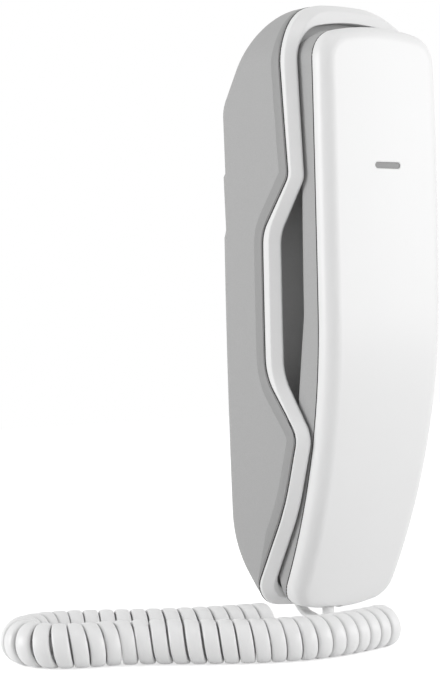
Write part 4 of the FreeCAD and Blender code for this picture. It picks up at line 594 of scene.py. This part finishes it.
def coilLine(settings):
    # the strip's own centre line, the way out from the coil's middle and the strip's width at each point
    height = studioSettings["floorHeight"] + settings["coilOuter"] / 2000
    route = [Vector((x / 1000, -depth / 1000, height)) for x, depth in settings["coilRoute"]]
    line, step = evenLine(splineLine(route, "coilRoute"), 0.0002)
    radius = (settings["coilOuter"] - settings["stripThick"]) / 2000
    reach = 25
    middle, bends = [], []
    for i in range(len(line)):
        middle.append((line[min(len(line) - 1, i + reach)] - line[max(0, i - reach)]).normalized())
    for i in range(len(line)):
        low, high = max(0, i - reach), min(len(line) - 1, i + reach)
        bends.append((middle[high] - middle[low]) / max((high - low) * step, 1e-9))
    pitches = []
    stops = settings["pitches"]
    for i in range(len(line)):
        far = i * step * 1000
        k = max(j for j in range(len(stops) - 1) if stops[j][0] <= far)
        share = min(1.0, (far - stops[k][0]) / (stops[k + 1][0] - stops[k][0]))
        pitches.append((stops[k][1] + (stops[k + 1][1] - stops[k][1]) * share) / 1000)
    turned = [0.0]
    for i in range(1, len(pitches)):
        near = pitches[max(0, i - 20): i + 21]
        turned.append(turned[-1] + step * len(near) / sum(near))
    turns = math.floor(turned[-1])
    turned = [t * turns / turned[-1] for t in turned]
    out, ways, widths = [], [], []
    k = 0
    for n in range(turns * settings["stepsPerTurn"] + 1):
        want = n / settings["stepsPerTurn"]
        while k < len(line) - 2 and turned[k + 1] < want:
            k += 1
        share = min(1.0, max(0.0, (want - turned[k]) / max(turned[k + 1] - turned[k], 1e-12)))
        centre = line[k].lerp(line[k + 1], share)
        along = middle[k].lerp(middle[k + 1], share).normalized()
        side = Vector((0, 0, 1)).cross(along)
        angle = 2 * math.pi * want
        way = side * math.sin(angle) - Vector((0, 0, 1)) * math.cos(angle)
        out.append(centre + way * radius)
        ways.append(way)
        # a bend pushes the turns together on its inner side and spreads them on its outer side
        spread = -bends[k].dot(way) * radius
        room = pitches[k] * (1 + spread) - settings["stripGap"] / 1000
        widths.append(max(0.0018, min(settings["stripWidth"] / 1000 * (1 + 0.4 * max(0, spread)), room)))
    print("coil:", turns, "turns")
    return out, ways, widths


def makeCords(settings):
    coil, coilWays, coilWidths = coilLine(settings)
    width, thick = settings["stripWidth"] / 1000, settings["stripThick"] / 1000
    leadWidth, leadThick = settings["leadWidth"] / 1000, settings["leadThick"] / 1000
    flat = studioSettings["floorHeight"] + thick / 2

    def leadTo(route, coilEnd, inside, reach):
        # the lead's line runs on in the strip's own direction where it meets the coil
        way = coilEnd - inside
        way.z = 0
        way.normalize()
        points = [millimetres(*point) for point in route] + [coilEnd + way * reach, coilEnd]
        return evenLine(splineLine(points, "leadRoute"), 0.0009)[0]

    handsetLine = leadTo(settings["handsetLeadRoute"], coil[0], coil[1], 0.009)
    baseLine = leadTo(settings["baseLeadRoute"], coil[-1], coil[-2], 0.012)

    # base lead and coil are one strip, from the base plug to the coil's handset end
    line = baseLine[:-1] + list(reversed(coil))
    back = carriedWays(list(reversed(baseLine)), coilWays[-1])
    ways = list(reversed(back))[:-1] + list(reversed(coilWays))
    grow = [min(1.0, i / (len(baseLine) - 1)) for i in range(len(line))]
    widths = [leadWidth + (width - leadWidth) * g for g in grow[:len(baseLine) - 1]] + coilWidths[::-1]
    thicks = [leadThick + (thick - leadThick) * g for g in grow]
    curlyCord = sweepStrip("curlyCordStrip", line, ways, widths, thicks)
    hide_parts("curly_cord", "base_lead")
    dress(curlyCord, None, "cord_white")

    leadLine = list(reversed(handsetLine))
    leadWays = carriedWays(leadLine, coilWays[0])
    leadLine = [coil[1]] + leadLine
    leadWays = [coilWays[1]] + leadWays
    grow = [min(1.0, i / 20) for i in range(len(leadLine))]
    handsetLead = sweepStrip("handsetLeadStrip", leadLine, leadWays,
                             [coilWidths[0] + (leadWidth - coilWidths[0]) * g for g in grow],
                             [thick * 0.99 + (leadThick - thick * 0.99) * g for g in grow])
    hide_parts("handset_lead")
    dress(handsetLead, None, "cord_white")

    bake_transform(curlyCord)
    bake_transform(handsetLead)
    print("cords made: coil and base lead", round(lineLength(line), 3), "m, handset lead",
          round(lineLength(leadLine), 3), "m")


makeCords(cordSettings)

seamSettings = {
    "seamShadeWidth": 0.0008,
    "handsetSeamShadeWidth": 0.00055,
    "seamShadeThick": 0.0004,
    "seamShadeProud": 0.00005,
    "bandWidth": 0.0042,
    "bandThick": 0.0008,
    "bandProud": 0.0003,
    "bandGap": 0.0005,
    "bandFoot": -0.098,
    "bandTop": 0.086,
    "bandTaper": 0.018,
    "bandTopThinning": 0.65,
    "step": 0.0015,
}


def seamLoop(node, towards):
    # the outer loop along which this node's side meets its face towards the wall (1) or the room (-1)
    bm = bmesh.new()
    bm.from_mesh(frame["nodes"][node].data)
    bmesh.ops.remove_doubles(bm, verts=bm.verts, dist=1e-6)
    bm.normal_update()
    low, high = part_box(node)
    centre = (low + high) / 2
    found = []
    for edge in bm.edges:
        if len(edge.link_faces) != 2 or not edge.is_convex:
            continue
        side, end = sorted(edge.link_faces, key=lambda face: abs(face.normal.y))
        middle = (edge.verts[0].co + edge.verts[1].co) / 2 - centre
        outward = side.normal.x * middle.x + side.normal.z * middle.z > 0
        if abs(side.normal.y) < 0.3 and outward and end.normal.y * towards > 0.3:
            found.append((side.normal.copy(), [v.co.copy() for v in edge.verts]))
    bm.free()
    places = [place for _, ends in found for place in ends]
    outer = []
    for normal, ends in found:
        across = Vector((normal.x, 0, normal.z)).normalized()
        limit = max(across.dot(place) for place in places) - 0.0003
        outer += [place for place in ends if across.dot(place) > limit]
    outer.sort(key=lambda place: math.atan2(place.x - centre.x, place.z - centre.z))
    # openings in the side have such edges too, much nearer the wall
    outer = [place for place in outer if not any(
        (other.y - place.y) * towards > 0.003 and math.hypot(other.x - place.x, other.z - place.z) < 0.006
        for other in outer)]
    line = [outer[0]]
    for place in outer[1:]:
        if (place - line[-1]).length > 0.0001:
            line.append(place)
    return line + [line[0]]


def outwardWays(line):
    # square to the line and to the wall's own direction, on the outer side
    centre = sum(line[:-1], Vector()) / (len(line) - 1)
    ways = []
    for i in range(len(line)):
        before = line[i - 1] if i else line[-2]
        after = line[i + 1] if i < len(line) - 1 else line[1]
        along = after - before
        way = Vector((along.z, 0, -along.x)).normalized()
        out = line[i] - centre
        ways.append(way if way.x * out.x + way.z * out.z > 0 else -way)
    return ways


def makeSeams(settings):
    # dark strips in the seams' gaps as painted shade, and the raised band behind the shell's front edge, its grey
    # painted darker as shade
    for name, node, body, gap, width, finish in (
            ("bezelSeamShade", "front_bezel", "base", 0.00025, settings["seamShadeWidth"], "soft_black"),
            ("handsetSeamShade", "handset_cover", "handset", 0.00015, settings["handsetSeamShadeWidth"], "soft_black")):
        line, _ = evenLine(seamLoop(node, 1), settings["step"])
        ways = outwardWays(line)
        sunk = settings["seamShadeThick"] / 2 - settings["seamShadeProud"]
        line = [p + Vector((0, gap, 0)) - way * sunk for p, way in zip(line, ways)]
        seamShade = sweepStrip(name, line, ways, [width] * len(line), [settings["seamShadeThick"]] * len(line),
                          segments=8, flat=0.5, edge=0.5, closed=True)
        dress(seamShade, body, finish)
        print(name, round(lineLength(line), 3), "m long")
    # the band thins out where the shell's side does: over its top and towards its foot
    loop = [p for p in seamLoop("rear_shell", -1)[:-1] if p.z > settings["bandFoot"]]
    line, _ = evenLine(loop, settings["step"])
    ways, middle, widths = [], [], []
    for i, p in enumerate(line):
        along = (line[min(i + 1, len(line) - 1)] - line[max(0, i - 1)]).normalized()
        way = Vector((along.z, 0, -along.x)).normalized()
        way = way if way.x * p.x + way.z * p.z > 0 else -way
        across = along.cross(way)
        across = across if across.y > 0 else -across
        foot = min(1.0, max(0.1, (p.z - settings["bandFoot"]) / settings["bandTaper"]))
        above = min(1.0, max(0.0, (p.z - settings["bandTop"]) / settings["bandTaper"]))
        top = 1 - settings["bandTopThinning"] * above
        widths.append(settings["bandWidth"] * foot * top)
        ways.append(way)
        middle.append(p + across * (widths[-1] / 2 + settings["bandGap"])
                      - way * (settings["bandThick"] / 2 - settings["bandProud"] * foot * top))
    band = sweepStrip("shellBand", middle, ways, widths, [settings["bandThick"]] * len(line),
                      segments=12, flat=0.2, edge=0.35)
    dress(band, "base", "shell_band_shaded")
    print("shellBand", round(lineLength(middle), 3), "m long")


makeSeams(seamSettings)

lensSettings = {"border": 0.0004, "depth": 0.0005, "proud": 0.00006, "step": 0.0003}


def makeLensGapShade(settings):
    # dark ring round the indicator lens: painted shade of the gap round it
    line, _ = evenLine(seamLoop("indicator_lens", -1), settings["step"])
    ways = outwardWays(line)
    back = settings["depth"] / 2 - settings["proud"]
    line = [p + way * settings["border"] / 2 + Vector((0, back, 0)) for p, way in zip(line, ways)]
    border = sweepStrip("lensGapShade", line, ways, [settings["depth"]] * len(line),
                        [settings["border"]] * len(line), segments=8, flat=0.5, edge=0.5, closed=True)
    dress(border, "handset", "soft_black")
    print("lens border made:", round(lineLength(line), 4), "m long")


makeLensGapShade(lensSettings)

legendSettings = {
    "marks": {"key_1": "1", "key_2": "2", "key_3": "3", "key_4": "4", "key_5": "5", "key_6": "6", "key_7": "7",
              "key_8": "8", "key_9": "9", "key_0": "0", "key_star": "*", "key_hash": "#", "key_flash": "F",
              "key_redial": "R", "key_mute": "M"},
    "size": 0.0046,
    "smallSize": 0.0034,
    "height": 0.00004,
    "starDrop": -0.0007,
}


def makeLegends(settings):
    # printed marks on the key caps, read from behind the handset
    for node, mark in settings["marks"].items():
        low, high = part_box(node)
        text = bpy.data.curves.new(node + "Legend", "FONT")
        text.body = mark
        text.align_x = "CENTER"
        text.align_y = "CENTER"
        text.size = settings["smallSize"] if mark in "FRM" else settings["size"]
        text.extrude = settings["height"]
        text.resolution_u = 3
        holder = bpy.data.objects.new("legendText", text)
        bpy.context.collection.objects.link(holder)
        bpy.context.view_layer.update()
        mesh = bpy.data.meshes.new_from_object(holder)
        bpy.data.objects.remove(holder)
        centre = (low + high) / 2
        drop = settings["starDrop"] if mark == "*" else 0.0
        facing = Matrix((
            (-1, 0, 0, centre.x), (0, 0, 1, high.y), (0, 1, 0, centre.z + drop), (0, 0, 0, 1)))
        mesh.transform(facing)
        legend = bpy.data.objects.new(node + "Legend", mesh)
        bpy.context.collection.objects.link(legend)
        dress(legend, node, "key_print")
    print("key legends made:", len(settings["marks"]))


makeLegends(legendSettings)

plugSettings = {
    # body, name and how far the plug is pushed in past its solid
    "plugs": {"base_plug": ("base", "basePlug", 0.0), "handset_plug": ("handset", "handsetPlug", 0.0015)},
    "grooveTall": 0.0039,
    "grooveDeep": 0.0016,
    "grooveWide": 0.0006,
    "pitch": 0.00127,
    "latchWide": 0.0032,
    "latchThick": 0.0007,
    "latchRoom": 0.001,
    "rounding": 0.0003,
    "wire": 0.0004,
}


def block(bm, low, high, rounding=0.0, segments=2):
    made = bmesh.ops.create_cube(bm, size=1.0)["verts"]
    centre = (Vector(low) + Vector(high)) / 2
    size = Vector(high) - Vector(low)
    bmesh.ops.scale(bm, verts=made, vec=size)
    bmesh.ops.translate(bm, verts=made, vec=centre)
    if rounding:
        edges = {e for v in made for e in v.link_edges}
        bmesh.ops.bevel(bm, geom=list(edges), offset=rounding, segments=segments, profile=0.5, affect="EDGES",
                        material=-1)


def makePlugs(settings):
    # clear plugs with four blades in open grooves and a latch on the room side
    for node, (body, name, lifted) in settings["plugs"].items():
        low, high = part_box(node)
        low.z += lifted
        step = high.z - settings["grooveTall"]
        front = low.y + settings["latchRoom"]
        middle = (low.x + high.x) / 2
        bm = bmesh.new()
        block(bm, (low.x, front, low.z), (high.x, high.y, step), settings["rounding"])
        block(bm, (low.x, front, step - 0.0004), (high.x, high.y - settings["grooveDeep"], high.z), 0.0002)
        gaps = [middle + (index - 1.5) * settings["pitch"] for index in range(4)]
        starts = [low.x] + [x + settings["grooveWide"] / 2 for x in gaps]
        ends = [x - settings["grooveWide"] / 2 for x in gaps] + [high.x]
        for start, end in zip(starts, ends):
            block(bm, (start, high.y - settings["grooveDeep"] - 0.0002, step - 0.0002),
                  (end, high.y, high.z), 0.00012)
        half = settings["latchWide"] / 2
        block(bm, (middle - half, low.y + 0.0001, low.z + 0.001),
              (middle + half, low.y + 0.0001 + settings["latchThick"], high.z - 0.0012), 0.0002)
        block(bm, (middle - half, low.y + 0.0003, high.z - 0.0022),
              (middle + half, front + 0.0002, high.z - 0.001), 0.0002)
        plug = fromBmesh(name, bm)
        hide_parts(node)
        dress(plug, body, "plug_clear")
        blades = bmesh.new()
        for x in gaps:
            block(blades, (x - 0.0002, high.y - settings["grooveDeep"] + 0.0001, step + 0.0003),
                  (x + 0.0002, high.y - 0.0004, high.z - 0.0003), 0.00008)
        dress(fromBmesh(name + "Blades", blades), body, "contact_gold")
    print("plugs made:", len(settings["plugs"]))


def makeJackWires(settings):
    # sprung wires that wait in the empty line socket
    low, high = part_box("line_jack")
    middle = (low + high) / 2
    lines = []
    for index in range(4):
        x = middle.x + (index - 1.5) * settings["pitch"]
        lines.append(splineLine([
            Vector((x, low.y + 0.0012, high.z - 0.0022)), Vector((x, low.y + 0.0022, high.z - 0.0034)),
            Vector((x, low.y + 0.0034, high.z - 0.0070)), Vector((x, low.y + 0.0022, low.z + 0.0026)),
            Vector((x, low.y + 0.0011, low.z + 0.0022))], "jackWire", 8))
    for index, line in enumerate(lines):
        ways = carriedWays(line, Vector((0, -1, 0)))
        count = len(line)
        wire = sweepStrip("lineJackWire%d" % index, line, ways, [settings["wire"]] * count,
                          [settings["wire"]] * count, segments=8, flat=1.0, edge=1.0)
        dress(wire, "base", "contact_gold")
    print("jack wires made:", len(lines))


makePlugs(plugSettings)
makeJackWires(plugSettings)

switchMarkSettings = {"radius": 0.0007, "proud": 0.0003, "heights": (0.0035, 0.0185), "smallShare": 0.55}


def makeSwitchMarks(settings):
    # a small and a large raised dot by the two ends of the ringer switch's slot
    _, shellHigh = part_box("rear_shell")
    knobLow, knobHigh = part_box("ringer_switch_knob")
    knob = (knobLow + knobHigh) / 2
    bm = bmesh.new()
    for height, share in zip(settings["heights"], (settings["smallShare"], 1.0)):
        made = bmesh.ops.create_uvsphere(
            bm, u_segments=20, v_segments=10, radius=settings["radius"] * share)["verts"]
        bmesh.ops.scale(bm, verts=made, vec=(settings["proud"] / (settings["radius"] * share), 1, 1))
        bmesh.ops.translate(bm, verts=made, vec=(shellHigh.x - 0.0002, knob.y, height))
    dress(fromBmesh("ringerMarks", bm, smooth=True), "base", "white_plastic")
    print("ringer switch marks made")


makeSwitchMarks(switchMarkSettings)
